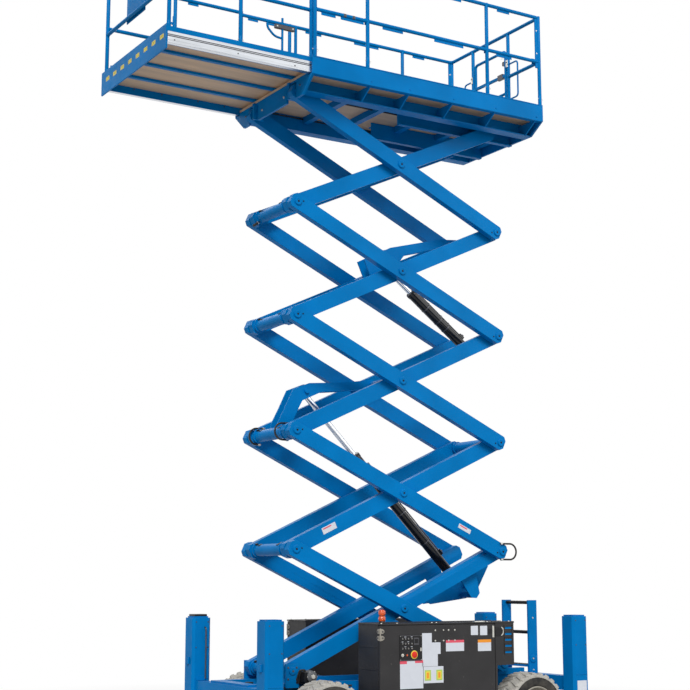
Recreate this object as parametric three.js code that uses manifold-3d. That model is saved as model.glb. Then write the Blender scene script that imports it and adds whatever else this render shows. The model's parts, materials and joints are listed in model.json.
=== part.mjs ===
// Rough-terrain scissor lift, parked with its stack part raised and its deck extension rolled out.
// Millimetres. +X runs to the rear (ladder end), +Z is up, and the ground is z = 0.
// Left and right are those of an operator who faces the front, so left is -Y.
import * as THREE from 'three';
import { mergeVertices } from 'three/addons/utils/BufferGeometryUtils.js';
import Module from 'manifold-3d';

const wasm = await Module();
wasm.setup();

// ---- driving dimensions: scissor stack ----
const ARM_LENGTH = 2613;          // between end pins
const REST_ANGLE = 24.75;         // degrees above level
const LEVELS = 5;
const BASE_PIN_HEIGHT = 750;
const ARM_DEPTH = 150;
const ARM_THICKNESS = 76;
const ARM_WALL = 8;
const ARM_END = 55;               // square tube end past the right-hand pin
const INNER_ARM_Y = 340;          // middle of an inner arm's tube
const ARM_GAP = 12;               // between an inner and an outer arm
const PIN_RADIUS = 25;
const PIN_HEAD_RADIUS = 34;
const PIN_HEAD = 14;
const PIN_REACH = 26;             // pin past the inner arm's outer wall
const PIN_CLEARANCE = 1.6;        // radial, between facets
const ARM_HEAD = 72;              // tube end past the left-hand pin
const ARM_END_BEVEL = 34;         // cut-off corners at both ends
const CROSS_TUBE_RADIUS = 57;
const CROSS_TUBE_WALL = 9;
const SLIM_BAR_RADIUS = 30;       // cross bars beside a cylinder
const ROLLER_RADIUS = 50;
const ROLLER_WIDTH = 40;

// ---- driving dimensions: lift cylinders, in the frame of the arm that carries each pin ----
const LOWER_BASE = { level: 1, along: 2300, up: -230 };
const LOWER_EYE = { level: 3, along: 474, up: 255 };
const UPPER_BASE = { level: 3, along: 2524, up: -56 };
const UPPER_EYE = { level: 4, along: 1423, up: 152 };
const LOWER_BARREL_LENGTH = 1800;
const LOWER_ROD_LENGTH = 1900;
const UPPER_BARREL_LENGTH = 900;
const UPPER_ROD_LENGTH = 830;
const BARREL_RADIUS = 49;
const BARREL_WALL = 9;
const ROD_RADIUS = 28;
const ROD_CLEARANCE = 2;
const CYLINDER_EYE_RADIUS = 44;
const CYLINDER_EYE_WIDTH = 100;
const CYLINDER_PIN_RADIUS = 22;
const BRACKET_PLATE = 16;
const PIN_END = 24;               // cylinder pin past its bracket plates
const HANGER_PLATE = 15;          // plates that hang the lowest cross bar from the inner arms
const FOOT_BAR_CLEARANCE = 16;    // from the lower barrel, each way
const FOOT_BAR = {
  along: LOWER_BASE.along - BARREL_RADIUS - FOOT_BAR_CLEARANCE,
  up: LOWER_BASE.up - BARREL_RADIUS - FOOT_BAR_CLEARANCE,
};
const BRACKET_CLEARANCE = 5;      // each side of a cylinder

// ---- driving dimensions: chassis ----
const FIXED_PIN_X = -ARM_LENGTH * Math.cos(THREE.MathUtils.degToRad(REST_ANGLE)) / 2;
const FRONT_WHEEL_X = -1020;
const WHEELBASE = 2290;
const TYRE_RADIUS = 340;
const TYRE_WIDTH = 300;
const TYRE_INNER_Y = 575;
const RIM_RADIUS = 212;
const RIM_WALL = 12;
const KINGPIN_Y = 555;
const CHASSIS_FRONT_X = -1620;
const REAR_OVERHANG = 420;        // frame past the rear axle
const CHASSIS_REAR_X = FRONT_WHEEL_X + WHEELBASE + REAR_OVERHANG;
const CHASSIS_BOTTOM = 430;
const CHASSIS_TOP = 640;
const LONGERON_INNER_Y = 312;
const LONGERON_OUTER_Y = 372;
const MODULE_INNER_Y = 490;
const MODULE_DEPTH = 370;
const MODULE_FRONT_X = -530;
const MODULE_REAR_X = 800;
const MODULE_TAIL_X = 1000;
const MODULE_BOTTOM = 420;
const MODULE_TOP = 1168;
const MODULE_TAIL_BOTTOM = 765;
const MODULE_WALL = 8;
const DOOR_THICKNESS = 28;
const DOOR_GAP = 6;
const ENGINE_SIZE = [560, 260, 480];

// ---- driving dimensions: outriggers and ladder ----
const OUTRIGGER_FRONT_X = -1589;
const OUTRIGGER_OVERHANG = 177;   // rear outriggers past the frame
const OUTRIGGER_REAR_X = CHASSIS_REAR_X + OUTRIGGER_OVERHANG;
const OUTRIGGER_Y = 731;
const HOUSING_SIZE = 190;
const HOUSING_WALL = 12;
const HOUSING_CHAMFER = 22;
const HOUSING_BOTTOM = 460;
const HOUSING_TOP = 1207;
const LEG_SIZE = 150;
const LEG_WALL = 12;
const LEG_TOP = 1190;
const PAD_BOTTOM = 215;
const PAD_RADIUS = 140;
const BEAM_BOTTOM = 480;
const BEAM_TOP = 620;
const BEAM_WIDTH = 120;
const LADDER_GAP = 5;             // between the ladder and the frame
const LADDER_FRONT_X = CHASSIS_REAR_X + LADDER_GAP;
const LADDER_DEPTH = 110;
const LADDER_HALF_WIDTH = 222;
const LADDER_RAIL = 22;
const LADDER_BOTTOM = 690;
const LADDER_TOP = 1360;
const RUNG_HEIGHTS = [1035, 1335];

// ---- driving dimensions: platform and extension ----
const FRONT_PIN_INSET = 38;       // left-hand top pins behind the platform's front
const REAR_PIN_INSET = 379;       // right-hand ones ahead of its rear end
const PLATFORM_FRONT_X = Math.round(FIXED_PIN_X) - FRONT_PIN_INSET;
const PLATFORM_LENGTH = FRONT_PIN_INSET + REAR_PIN_INSET + Math.round(-2 * FIXED_PIN_X);
const PLATFORM_HALF_WIDTH = 800;
const SKIRT_THICKNESS = 20;
const SKIRT_HEIGHT = 180;
const SKIRT_ABOVE_PIN = 75;       // underside of the skirt over the top pins
const FLOOR_ABOVE_PIN = 110;
const FLOOR_THICKNESS = 25;
const FLOOR_HALF_WIDTH = 700;
const SIDE_BOX_INNER_Y = 492;
const SIDE_BOX_BELOW_PIN = 40;
const ROLLER_RAIL_PLATE = 12;
const EXTENSION_REACH = 1497;
const EXTENSION_RAIL_TAIL = 900;  // rail left inside the platform when rolled out
const EXTENSION_HALF_WIDTH = 765;
const EXTENSION_RAIL_WIDTH = 46;
const EXTENSION_FLOOR = 24;
const EXTENSION_RIB = 24;
const DECK_GAP = 6;               // between the two decks
const RAIL_RADIUS = 20;
const TOP_RAIL_HEIGHT = 1085;     // middle of the top rail over the platform floor
const MID_RAIL_HEIGHT = 595;
const PLATFORM_RAIL_Y = 780;
const EXTENSION_RAIL_Y = 732;
const GATE_NEAR_Y = -262;
const GATE_FAR_Y = 372;
const GATE_GAP = 12;

// ---- driving dimensions: wheels ----
const SHOULDER = 34;
const TYRE_SEAT = 2;
const RIM_INSET = 8;
const DISC_INNER = 101;           // wheel disc from the tyre's inner side
const DISC_THICKNESS = 16;
const HUB_CAP_RADIUS = 78;
const HUB_CAP_LENGTH = 60;
const HUB_RADIUS = 80;
const HUB_THICKNESS = 20;

// ---- driving dimensions: axles and steering knuckles ----
const AXLE_HALF = 60;
const YOKE_INNER_Y = 450;
const YOKE_OUTER_Y = 598;
const YOKE_PLATE = 22;
const YOKE_HALF = 45;
const KINGPIN_RADIUS = 45;
const SPINDLE_RADIUS = 40;
const STEER_ARM = [160, 26, 34];  // reach, width and depth of a steering arm
const AXLE_SEAT_HALF = 80;

// ---- driving dimensions: chassis frame ----
const BELLY_PLATE = 12;
const CROSS_BOX = 120;
const PIN_BLOCK_HALF = 66;
const PIN_BLOCK_THICKNESS = 26;
const PIN_BLOCK_TOP = 812;
const PIN_BLOCK_GAP = 8;
const LEDGE_FRONT_X = 120;
const LEDGE_REAR_X = 1500;
const LEDGE_INNER_Y = 330;
const SADDLE_PLACES = [-440, 150, 700];
const SADDLE_WIDTH = 80;
const SADDLE_TOP = 640;
const SADDLE_BOTTOM = 450;

// ---- driving dimensions: side modules ----
const DOOR_REAR_X = 772;
const DOOR_SKIN = 5;
const ENGINE_X = 180;
const BEACON = { x: -418, y: -720, base: 26, height: 128, lobe: 34 };

// ---- driving dimensions: outriggers ----
const HOUSING_CAP = 10;
const LEG_FOOT = 300;
const NECK_RADIUS = 45;
const PAD_THICKNESS = 22;

// ---- driving dimensions: access ladder ----
const RUNG_RADIUS = 14;
const STEP_THICKNESS = 20;

// ---- driving dimensions: platform ----
const ENTRY_NOTCH = 60;
const CHANNEL_PLATE = 12;
const SIDE_BEAM_OUTER_Y = 610;
const CORNER_STEP = 4;            // skirt left straight below its cut-off corners
const SKIRT_LIP = 10;
const SKIRT_LIP_WIDTH = 65;
const CANTILEVER_PLATE = 14;
const FRONT_PLATE = 24;
const FRONT_PLATE_DROP = 80;      // below the top pins
const SLOT_MARGIN = 8;
const SLOT_CLEARANCE = 16;        // over the arms' heads
const SLOT_TOP = ARM_DEPTH / 2 + SLOT_CLEARANCE;
const CROSS_MEMBER_PLACES = [-1170, -560, -110, 420, 950, 1480];
const CROSS_MEMBER_WIDTH = 70;
const CROSS_MEMBER_DEPTH = 11;
const KEEL_DEPTH = 66;            // cross members between the roller rails
const PLATFORM_LUG_HALF = 60;
const ROLLER_RAIL_FRONT_X = 100;
const END_PLATE = 20;
const WELD_STEP = 1;              // how far welded plates run past each other

// ---- driving dimensions: platform guardrail and entry gate ----
const PLATFORM_POST_PLACES = [-1190, -595, 860];
const GATE_TUBE = 16;
const GATE_TOP = 900;             // over the platform floor
const GATE_BOTTOM = 140;
const GATE_BAND = 420;            // middle bar over the platform floor

// ---- driving dimensions: extension deck ----
const EXTENSION_RAIL_BOTTOM = 92; // above the top pins
const EXTENSION_RAIL_TOP = 200;
const EXTENSION_TOE_TOP = 249;
const TOE_PLATE = 8;
const EXTENSION_FRONT_PLATE = 14;
const EXTENSION_FRONT_BOTTOM = 36;
const EXTENSION_FRONT_TOP = 270;
const RIB_WIDTH = 46;
const RIB_PLACES = [-395, 0, 395];
const DECK_OVERLAP = 70;          // extension floor left over the platform floor when rolled out

// ---- driving dimensions: extension guardrail and platform control box ----
const EXTENSION_POST_PLACES = [-2684, -1960, -1204];
const FRONT_MID_RAIL_HEIGHT = 530; // over the platform floor
const PANEL_NEAR_Y = -140;
const PANEL_FAR_Y = 300;
const PANEL_THICKNESS = 8;
const PANEL_DROP = 40;            // control panel past the two front rails
const CONTROL_BOX_DEPTH = 130;
const CONTROL_BOX_HEIGHT = 240;
const CONTROL_BOX_TOP = 960;      // over the platform floor
const CONTROL_BOX_SLOPE = 70;

// ---- fits and facets ----
const TOUCH = 0.3;                // gap between pieces that bear on each other
const SEGMENTS = 24;
const PIN_SEGMENTS = 12;

// ---- values worked out from the driving dimensions ----
const angle = THREE.MathUtils.degToRad(REST_ANGLE);
const span = ARM_LENGTH * Math.cos(angle);
const rise = ARM_LENGTH * Math.sin(angle);
const innerFace = INNER_ARM_Y - ARM_THICKNESS / 2;
const innerOuterFace = INNER_ARM_Y + ARM_THICKNESS / 2;
const outerFace = innerOuterFace + ARM_GAP;
const outerOuterFace = outerFace + ARM_THICKNESS;
const outerArmY = (outerFace + outerOuterFace) / 2;
const rearWheelX = FRONT_WHEEL_X + WHEELBASE;
const topPinZ = BASE_PIN_HEIGHT + LEVELS * rise;
const platformRearX = PLATFORM_FRONT_X + PLATFORM_LENGTH;
const skirtBottom = topPinZ + SKIRT_ABOVE_PIN;
const skirtTop = skirtBottom + SKIRT_HEIGHT;
const floorBottom = topPinZ + FLOOR_ABOVE_PIN;
const floorTop = floorBottom + FLOOR_THICKNESS;
const extensionFrontX = PLATFORM_FRONT_X - EXTENSION_REACH;
const frontEndX = extensionFrontX;
const rearEndX = OUTRIGGER_REAR_X + HOUSING_SIZE / 2;
const originShift = -(frontEndX + rearEndX) / 2;

// ---- materials ----
const paint = {
  blue: 0x0073be, black: 0x1b1d1f, grey: 0x8b8f92, chrome: 0xd9dcde, rubber: 0x9c9a94, board: 0xb08a68,
  orange: 0xf06a1a,
};
const material = (color, roughness, metalness = 0) =>
  new THREE.MeshStandardMaterial({ color, roughness, metalness });

// ---- solids ----
const solid = (geometry) => {
  const bare = geometry.clone();
  bare.deleteAttribute('normal');
  bare.deleteAttribute('uv');
  const merged = mergeVertices(bare, 1e-3);
  return new wasm.Manifold(new wasm.Mesh({
    numProp: 3,
    vertProperties: new Float32Array(merged.attributes.position.array),
    triVerts: new Uint32Array(merged.index.array),
  }));
};

const geometryOf = (body) => {
  const mesh = body.getMesh();
  const geometry = new THREE.BufferGeometry();
  geometry.setAttribute('position', new THREE.BufferAttribute(new Float32Array(mesh.vertProperties), 3));
  geometry.setIndex(new THREE.BufferAttribute(new Uint32Array(mesh.triVerts), 1));
  geometry.computeVertexNormals();
  return geometry;
};

const join = (parts) => parts.reduce((whole, part) => whole.add(part));
const cut = (body, tools) => tools.reduce((left, tool) => left.subtract(tool), body);

const box = (x0, x1, y0, y1, z0, z1) => {
  const geometry = new THREE.BoxGeometry(x1 - x0, y1 - y0, z1 - z0);
  geometry.translate((x0 + x1) / 2, (y0 + y1) / 2, (z0 + z1) / 2);
  return solid(geometry);
};

// A box given for the left side, mirrored to the right side when side is +1.
const sideBox = (side, x0, x1, nearY, farY, z0, z1) => {
  const edges = [side * nearY, side * farY].sort((a, b) => a - b);
  return box(x0, x1, edges[0], edges[1], z0, z1);
};

// A round bar along Y between y0 and y1.
const barY = (x, z, y0, y1, radius, segments = SEGMENTS) => {
  const geometry = new THREE.CylinderGeometry(radius, radius, Math.abs(y1 - y0), segments);
  geometry.translate(x, (y0 + y1) / 2, z);
  return solid(geometry);
};

// A round bar between any two points.
const bar = (from, to, radius, segments = SEGMENTS) => {
  const start = new THREE.Vector3(...from);
  const way = new THREE.Vector3(...to).sub(start);
  const geometry = new THREE.CylinderGeometry(radius, radius, way.length(), segments);
  const turn = new THREE.Quaternion().setFromUnitVectors(new THREE.Vector3(0, 1, 0), way.clone().normalize());
  geometry.applyQuaternion(turn);
  const middle = start.addScaledVector(way, 0.5);
  geometry.translate(middle.x, middle.y, middle.z);
  return solid(geometry);
};

// An outline in X and Z, as thick as y1 - y0.
const plateY = (points, y0, y1) => {
  const shape = new THREE.Shape(points.map(([x, z]) => new THREE.Vector2(x, z)));
  const geometry = new THREE.ExtrudeGeometry(shape, { depth: y1 - y0, bevelEnabled: false });
  geometry.rotateX(Math.PI / 2);
  geometry.translate(0, y1, 0);
  return solid(geometry);
};

// An outline in Y and Z, as thick as x1 - x0.
const plateX = (points, x0, x1) => {
  const shape = new THREE.Shape(points.map(([y, z]) => new THREE.Vector2(y, z)));
  const geometry = new THREE.ExtrudeGeometry(shape, { depth: x1 - x0, bevelEnabled: false });
  geometry.rotateX(Math.PI / 2);
  geometry.rotateZ(Math.PI / 2);
  geometry.translate(x0, 0, 0);
  return solid(geometry);
};

// A square tube standing on end, with chamfered corners outside.
const squareTube = (x, y, size, wall, chamfer, z0, z1) => {
  const half = size / 2;
  const corner = half - chamfer;
  const outline = [[-corner, -half], [corner, -half], [half, -corner], [half, corner],
    [corner, half], [-corner, half], [-half, corner], [-half, -corner]];
  const shape = new THREE.Shape(outline.map(([u, v]) => new THREE.Vector2(u, v)));
  const bore = half - wall;
  const hole = [[-bore, -bore], [-bore, bore], [bore, bore], [bore, -bore]];
  shape.holes.push(new THREE.Path(hole.map(([u, v]) => new THREE.Vector2(u, v))));
  const geometry = new THREE.ExtrudeGeometry(shape, { depth: z1 - z0, bevelEnabled: false });
  geometry.translate(x, y, z0);
  return solid(geometry);
};

const lift = new THREE.Group();
lift.position.x = originShift;

const addTo = (group, name, body, color, roughness = 0.45, metalness = 0) => {
  const piece = new THREE.Mesh(geometryOf(body), material(color, roughness, metalness));
  piece.name = name;
  group.add(piece);
};
const add = (...piece) => addTo(lift, ...piece);

// ---- scissor arms, each built level along X with its left-hand pin at the origin ----
const armFrame = (x, z, turn) => {
  const group = new THREE.Group();
  group.position.set(x, 0, z);
  group.rotation.y = turn;
  lift.add(group);
  return group;
};
const innerArmFrame = (level) => armFrame(FIXED_PIN_X, BASE_PIN_HEIGHT + (level - 1) * rise, -angle);
const outerArmFrame = (level) => armFrame(FIXED_PIN_X, BASE_PIN_HEIGHT + level * rise, angle);

// A place on an inner arm, in the machine's X and Z.
const onInnerArm = ({ level, along, up }) => ({
  x: FIXED_PIN_X + along * Math.cos(angle) - up * Math.sin(angle),
  z: BASE_PIN_HEIGHT + (level - 1) * rise + along * Math.sin(angle) + up * Math.cos(angle),
});

// A square arm tube whose ends are cut off at the corners.
const armTube = (side, nearY, farY) => {
  const half = ARM_DEPTH / 2;
  const bevel = ARM_END_BEVEL;
  const [left, right] = [-ARM_HEAD, ARM_LENGTH + ARM_END];
  const outline = [
    [left, -half + bevel], [left + bevel, -half], [right - bevel, -half], [right, -half + bevel],
    [right, half - bevel], [right - bevel, half], [left + bevel, half], [left, half - bevel],
  ];
  const edges = [side * nearY, side * farY].sort((a, b) => a - b);
  const hollow = sideBox(side, 0, right + 1,
    nearY + ARM_WALL, farY - ARM_WALL, -half + ARM_WALL, half - ARM_WALL);
  return plateY(outline, edges[0], edges[1]).subtract(hollow);
};

const pinPlaces = [0, ARM_LENGTH / 2, ARM_LENGTH];

// A cross tube that is open into the hollow arms at both of its ends.
const crossTube = (x, radius, wall) => ({
  tube: barY(x, 0, -innerFace - 1, innerFace + 1, radius),
  bore: barY(x, 0, -innerFace - ARM_WALL - 1, innerFace + ARM_WALL + 1, radius - wall, PIN_SEGMENTS),
});

const bracketNear = Math.max(CYLINDER_EYE_WIDTH / 2, BARREL_RADIUS) + BRACKET_CLEARANCE;
const bracketFar = bracketNear + BRACKET_PLATE;
const bothSides = (make) => [make(-1), make(1)];

// Twin plates that a cylinder's eye fits between.
const twinPlates = (outline) => [
  plateY(outline, bracketNear, bracketFar),
  plateY(outline, -bracketFar, -bracketNear),
];

// Bars from the inner arms to the twin plates, open in the middle where a cylinder swings through.
const stubBars = (x, z) => bothSides((side) =>
  barY(x, z, side * bracketNear, side * (innerFace + 1), SLIM_BAR_RADIUS, PIN_SEGMENTS));

// A cylinder's pin as it shows outside the twin plates.
const pinHeads = ({ along, up }) => bothSides((side) =>
  barY(along, up, side * (bracketFar - 1), side * (bracketFar + PIN_END), CYLINDER_PIN_RADIUS, PIN_SEGMENTS));

const lowerFootBracket = [
  ...twinPlates([[2600, -75], [2662, -175], [2430, -335], [2270, -350], [1850, -218], [1750, -100],
    [2100, -130], [2450, -150]]),
  barY(LOWER_BASE.along, LOWER_BASE.up, -bracketFar - PIN_END, bracketFar + PIN_END,
    CYLINDER_PIN_RADIUS, PIN_SEGMENTS),
  barY(FOOT_BAR.along, FOOT_BAR.up, -innerFace + 1, innerFace - 1, SLIM_BAR_RADIUS, PIN_SEGMENTS),
  ...bothSides((side) => plateY([[2130, -70], [2180, -300], [2235, -330], [2290, -300], [2340, -70]],
    side < 0 ? -innerFace - 1 : innerFace - HANGER_PLATE, side < 0 ? -innerFace + HANGER_PLATE : innerFace + 1)),
];
const lowerHeadBracket = [
  ...twinPlates([[20, 20], [60, 90], [190, 190], [350, 322], [545, 312], [930, 172], [1245, 85],
    [1245, 5], [1130, 30], [880, 105], [640, 185], [400, 185], [300, 110], [180, 10], [60, -30]]),
  ...pinHeads(LOWER_EYE),
  ...stubBars(1205, 42),
];
const upperHeadBracket = [
  ...twinPlates([[1205, 15], [1205, 235], [1560, 250], [2180, 142], [2390, 70], [2390, 0], [2290, 0],
    [2150, 55], [1700, 130], [1560, 60], [1300, 15]]),
  ...pinHeads(UPPER_EYE),
  ...stubBars(1250, 44),
  ...stubBars(2335, 30),
];
const upperFootBar = [
  barY(UPPER_BASE.along, UPPER_BASE.up, -innerFace - 1, innerFace + 1, CYLINDER_PIN_RADIUS, PIN_SEGMENTS),
];

// What each inner arm carries besides the tube at its left-hand pin.
const armFittings = {
  1: { rightTube: false, parts: lowerFootBracket },
  2: { rightTube: true, parts: [] },
  3: { rightTube: false, parts: [...lowerHeadBracket, ...upperFootBar] },
  4: { rightTube: true, parts: upperHeadBracket },
  5: { rightTube: false, parts: [] },
};

const roller = (side, fromY, toY) => barY(ARM_LENGTH, 0, side * fromY, side * toY, ROLLER_RADIUS);

const innerArm = (level) => {
  const tubes = [crossTube(0, CROSS_TUBE_RADIUS, CROSS_TUBE_WALL)];
  if (armFittings[level].rightTube) {
    tubes.push(crossTube(ARM_LENGTH, CROSS_TUBE_RADIUS, CROSS_TUBE_WALL));
  }
  const parts = [...tubes.map((piece) => piece.tube), ...armFittings[level].parts];
  const bores = tubes.map((piece) => piece.bore);
  for (const side of [-1, 1]) {
    parts.push(armTube(side, innerFace, innerOuterFace));
    for (const x of pinPlaces) {
      const isTop = level === LEVELS && x === ARM_LENGTH;
      if (isTop) {
        parts.push(roller(side, innerFace - ROLLER_WIDTH, innerFace + 1));
      } else {
        bores.push(barY(x, 0, side * INNER_ARM_Y, side * (innerOuterFace + 1),
          PIN_RADIUS + PIN_CLEARANCE, PIN_SEGMENTS));
      }
    }
  }
  return cut(join(parts), bores);
};

// A pin that an outer arm carries into the inner arm beside it.
const armPin = (x, side) => join([
  barY(x, 0, side * (innerOuterFace - ARM_WALL - PIN_REACH), side * (outerOuterFace - 1),
    PIN_RADIUS, PIN_SEGMENTS),
  barY(x, 0, side * (outerOuterFace - 1), side * (outerOuterFace + PIN_HEAD),
    PIN_HEAD_RADIUS, PIN_SEGMENTS),
]);

const outerArm = (side, level) => {
  const isLowest = level === 1;
  const parts = [armTube(side, outerFace, outerOuterFace)];
  for (const x of pinPlaces) {
    if (isLowest && x === ARM_LENGTH) {
      parts.push(roller(side, outerFace - ROLLER_WIDTH, outerFace + 1));
    } else {
      parts.push(armPin(x, side));
    }
  }
  return join(parts);
};

for (let level = 1; level <= LEVELS; level += 1) {
  addTo(innerArmFrame(level), `inner_arm_${level}`, innerArm(level), paint.blue);
  addTo(outerArmFrame(level), `outer_arm_${level}_left`, outerArm(-1, level), paint.blue);
  addTo(outerArmFrame(level), `outer_arm_${level}_right`, outerArm(1, level), paint.blue);
}

// ---- lift cylinders, each built along X from its base pin ----
const cylinder = (name, base, eye, barrelLength, rodLength) => {
  const foot = onInnerArm(base);
  const head = onInnerArm(eye);
  const length = Math.hypot(head.x - foot.x, head.z - foot.z);
  const group = armFrame(foot.x, foot.z, -Math.atan2(head.z - foot.z, head.x - foot.x));
  const half = CYLINDER_EYE_WIDTH / 2;
  const bore = CYLINDER_PIN_RADIUS + PIN_CLEARANCE;
  const barrel = cut(join([
    bar([CYLINDER_EYE_RADIUS - 6, 0, 0], [barrelLength, 0, 0], BARREL_RADIUS),
    barY(0, 0, -half, half, CYLINDER_EYE_RADIUS),
  ]), [
    barY(0, 0, -half - 1, half + 1, bore, PIN_SEGMENTS),
    bar([BARREL_RADIUS + 40, 0, 0], [barrelLength - 60, 0, 0], BARREL_RADIUS - BARREL_WALL, PIN_SEGMENTS),
    bar([barrelLength - 61, 0, 0], [barrelLength + 1, 0, 0], ROD_RADIUS + ROD_CLEARANCE, PIN_SEGMENTS),
  ]);
  addTo(group, `${name}_barrel`, barrel, paint.black, 0.35);
  const rod = join([
    bar([length - rodLength, 0, 0], [length - CYLINDER_EYE_RADIUS + 6, 0, 0], ROD_RADIUS, PIN_SEGMENTS),
    barY(length, 0, -half, half, CYLINDER_EYE_RADIUS),
  ]);
  addTo(group, `${name}_rod`, rod, paint.chrome, 0.15, 1);
};
cylinder('lower_cylinder', LOWER_BASE, LOWER_EYE, LOWER_BARREL_LENGTH, LOWER_ROD_LENGTH);
cylinder('upper_cylinder', UPPER_BASE, UPPER_EYE, UPPER_BARREL_LENGTH, UPPER_ROD_LENGTH);

// ---- wheels ----
// A body of revolution about Y, given as [radius, distance from the inner side] points.
const turned = (points, x, z, side, fromY) => {
  const profile = points.map(([radius, out]) => new THREE.Vector2(radius, out));
  const geometry = new THREE.LatheGeometry(profile, SEGMENTS);
  if (side < 0) {
    geometry.rotateX(Math.PI);
  }
  geometry.translate(x, side * fromY, z);
  return solid(geometry);
};

const discY = TYRE_INNER_Y + DISC_INNER;

const tyre = (x, side) => turned([
  [RIM_RADIUS + TYRE_SEAT, 12], [RIM_RADIUS + TYRE_SEAT + 30, 0], [TYRE_RADIUS - SHOULDER, 0],
  [TYRE_RADIUS, SHOULDER], [TYRE_RADIUS, TYRE_WIDTH - SHOULDER], [TYRE_RADIUS - SHOULDER, TYRE_WIDTH],
  [RIM_RADIUS + TYRE_SEAT + 30, TYRE_WIDTH], [RIM_RADIUS + TYRE_SEAT, TYRE_WIDTH - 12],
  [RIM_RADIUS + TYRE_SEAT, 12],
], x, TYRE_RADIUS, side, TYRE_INNER_Y);

const rim = (x, side) => turned([
  [0, DISC_INNER], [RIM_RADIUS - RIM_WALL, DISC_INNER], [RIM_RADIUS - RIM_WALL, RIM_INSET],
  [RIM_RADIUS, RIM_INSET], [RIM_RADIUS, TYRE_WIDTH - RIM_INSET],
  [RIM_RADIUS - RIM_WALL, TYRE_WIDTH - RIM_INSET],
  [RIM_RADIUS - RIM_WALL, DISC_INNER + DISC_THICKNESS],
  [HUB_CAP_RADIUS, DISC_INNER + DISC_THICKNESS], [HUB_CAP_RADIUS, DISC_INNER + HUB_CAP_LENGTH],
  [0, DISC_INNER + HUB_CAP_LENGTH],
], x, TYRE_RADIUS, side, TYRE_INNER_Y);

const sides = { left: -1, right: 1 };
const wheelRows = { front: FRONT_WHEEL_X, rear: rearWheelX };
for (const [row, x] of Object.entries(wheelRows)) {
  for (const [name, side] of Object.entries(sides)) {
    add(`tyre_${row}_${name}`, tyre(x, side), paint.rubber, 0.9);
    add(`rim_${row}_${name}`, rim(x, side), paint.grey, 0.5);
  }
}

// ---- axles and steering knuckles ----
const axleZ = TYRE_RADIUS;
const axleTop = axleZ + AXLE_HALF;
const axleBottom = axleZ - AXLE_HALF;

const frontAxle = [
  box(FRONT_WHEEL_X - AXLE_HALF, FRONT_WHEEL_X + AXLE_HALF,
    -YOKE_INNER_Y - 20, YOKE_INNER_Y + 20, axleBottom, axleTop),
  box(FRONT_WHEEL_X - AXLE_HALF, FRONT_WHEEL_X + AXLE_HALF,
    -AXLE_SEAT_HALF, AXLE_SEAT_HALF, axleTop - 1, CHASSIS_BOTTOM - TOUCH),
];
for (const side of [-1, 1]) {
  for (const [z0, z1] of [[axleTop - 1, axleTop + YOKE_PLATE], [axleBottom - YOKE_PLATE, axleBottom + 1]]) {
    frontAxle.push(sideBox(side, FRONT_WHEEL_X - YOKE_HALF, FRONT_WHEEL_X + YOKE_HALF,
      YOKE_INNER_Y, YOKE_OUTER_Y, z0, z1));
  }
}
add('front_axle', join(frontAxle), paint.black, 0.6);

const knuckle = (side) => {
  const [reach, width, depth] = STEER_ARM;
  const top = axleTop - 1 - TOUCH;
  const bottom = axleBottom + 1 + TOUCH;
  return join([
    bar([FRONT_WHEEL_X, side * KINGPIN_Y, bottom], [FRONT_WHEEL_X, side * KINGPIN_Y, top],
      KINGPIN_RADIUS),
    barY(FRONT_WHEEL_X, axleZ, side * KINGPIN_Y, side * (discY - HUB_THICKNESS + 1), SPINDLE_RADIUS),
    barY(FRONT_WHEEL_X, axleZ, side * (discY - HUB_THICKNESS), side * (discY - TOUCH), HUB_RADIUS),
    sideBox(side, FRONT_WHEEL_X + 20, FRONT_WHEEL_X + reach, KINGPIN_Y - width, KINGPIN_Y,
      axleZ - depth / 2, axleZ + depth / 2),
  ]);
};
add('knuckle_left', knuckle(-1), paint.black, 0.6);
add('knuckle_right', knuckle(1), paint.black, 0.6);

const rearAxle = [
  box(rearWheelX - AXLE_HALF, rearWheelX + AXLE_HALF, -YOKE_OUTER_Y + 30, YOKE_OUTER_Y - 30,
    axleBottom, axleTop),
];
for (const side of [-1, 1]) {
  rearAxle.push(barY(rearWheelX, axleZ, side * (YOKE_OUTER_Y - 32), side * (discY - TOUCH), HUB_RADIUS));
  rearAxle.push(sideBox(side, rearWheelX - AXLE_HALF, rearWheelX + AXLE_HALF,
    LONGERON_INNER_Y, LONGERON_OUTER_Y, axleTop - 1, CHASSIS_BOTTOM - TOUCH));
}
add('rear_axle', join(rearAxle), paint.black, 0.6);

// ---- chassis frame ----
const ledgeTop = BASE_PIN_HEIGHT - ROLLER_RADIUS - TOUCH;

const chassisParts = [
  box(CHASSIS_FRONT_X, CHASSIS_FRONT_X + CROSS_BOX, -LONGERON_OUTER_Y, LONGERON_OUTER_Y,
    CHASSIS_BOTTOM, CHASSIS_TOP),
  box(CHASSIS_REAR_X - CROSS_BOX, CHASSIS_REAR_X, -LONGERON_OUTER_Y, LONGERON_OUTER_Y,
    CHASSIS_BOTTOM, CHASSIS_TOP),
  box(CHASSIS_FRONT_X, CHASSIS_REAR_X, -LONGERON_OUTER_Y, LONGERON_OUTER_Y,
    CHASSIS_BOTTOM, CHASSIS_BOTTOM + BELLY_PLATE),
];
for (const x of [OUTRIGGER_FRONT_X, OUTRIGGER_REAR_X]) {
  const reach = OUTRIGGER_Y - HOUSING_SIZE / 2 - TOUCH;
  chassisParts.push(box(x - BEAM_WIDTH / 2, x + BEAM_WIDTH / 2, -reach, reach, BEAM_BOTTOM, BEAM_TOP));
}
chassisParts.push(box(CHASSIS_REAR_X - 1, OUTRIGGER_REAR_X, -LONGERON_INNER_Y, LONGERON_INNER_Y,
  BEAM_BOTTOM, BEAM_TOP));
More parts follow.
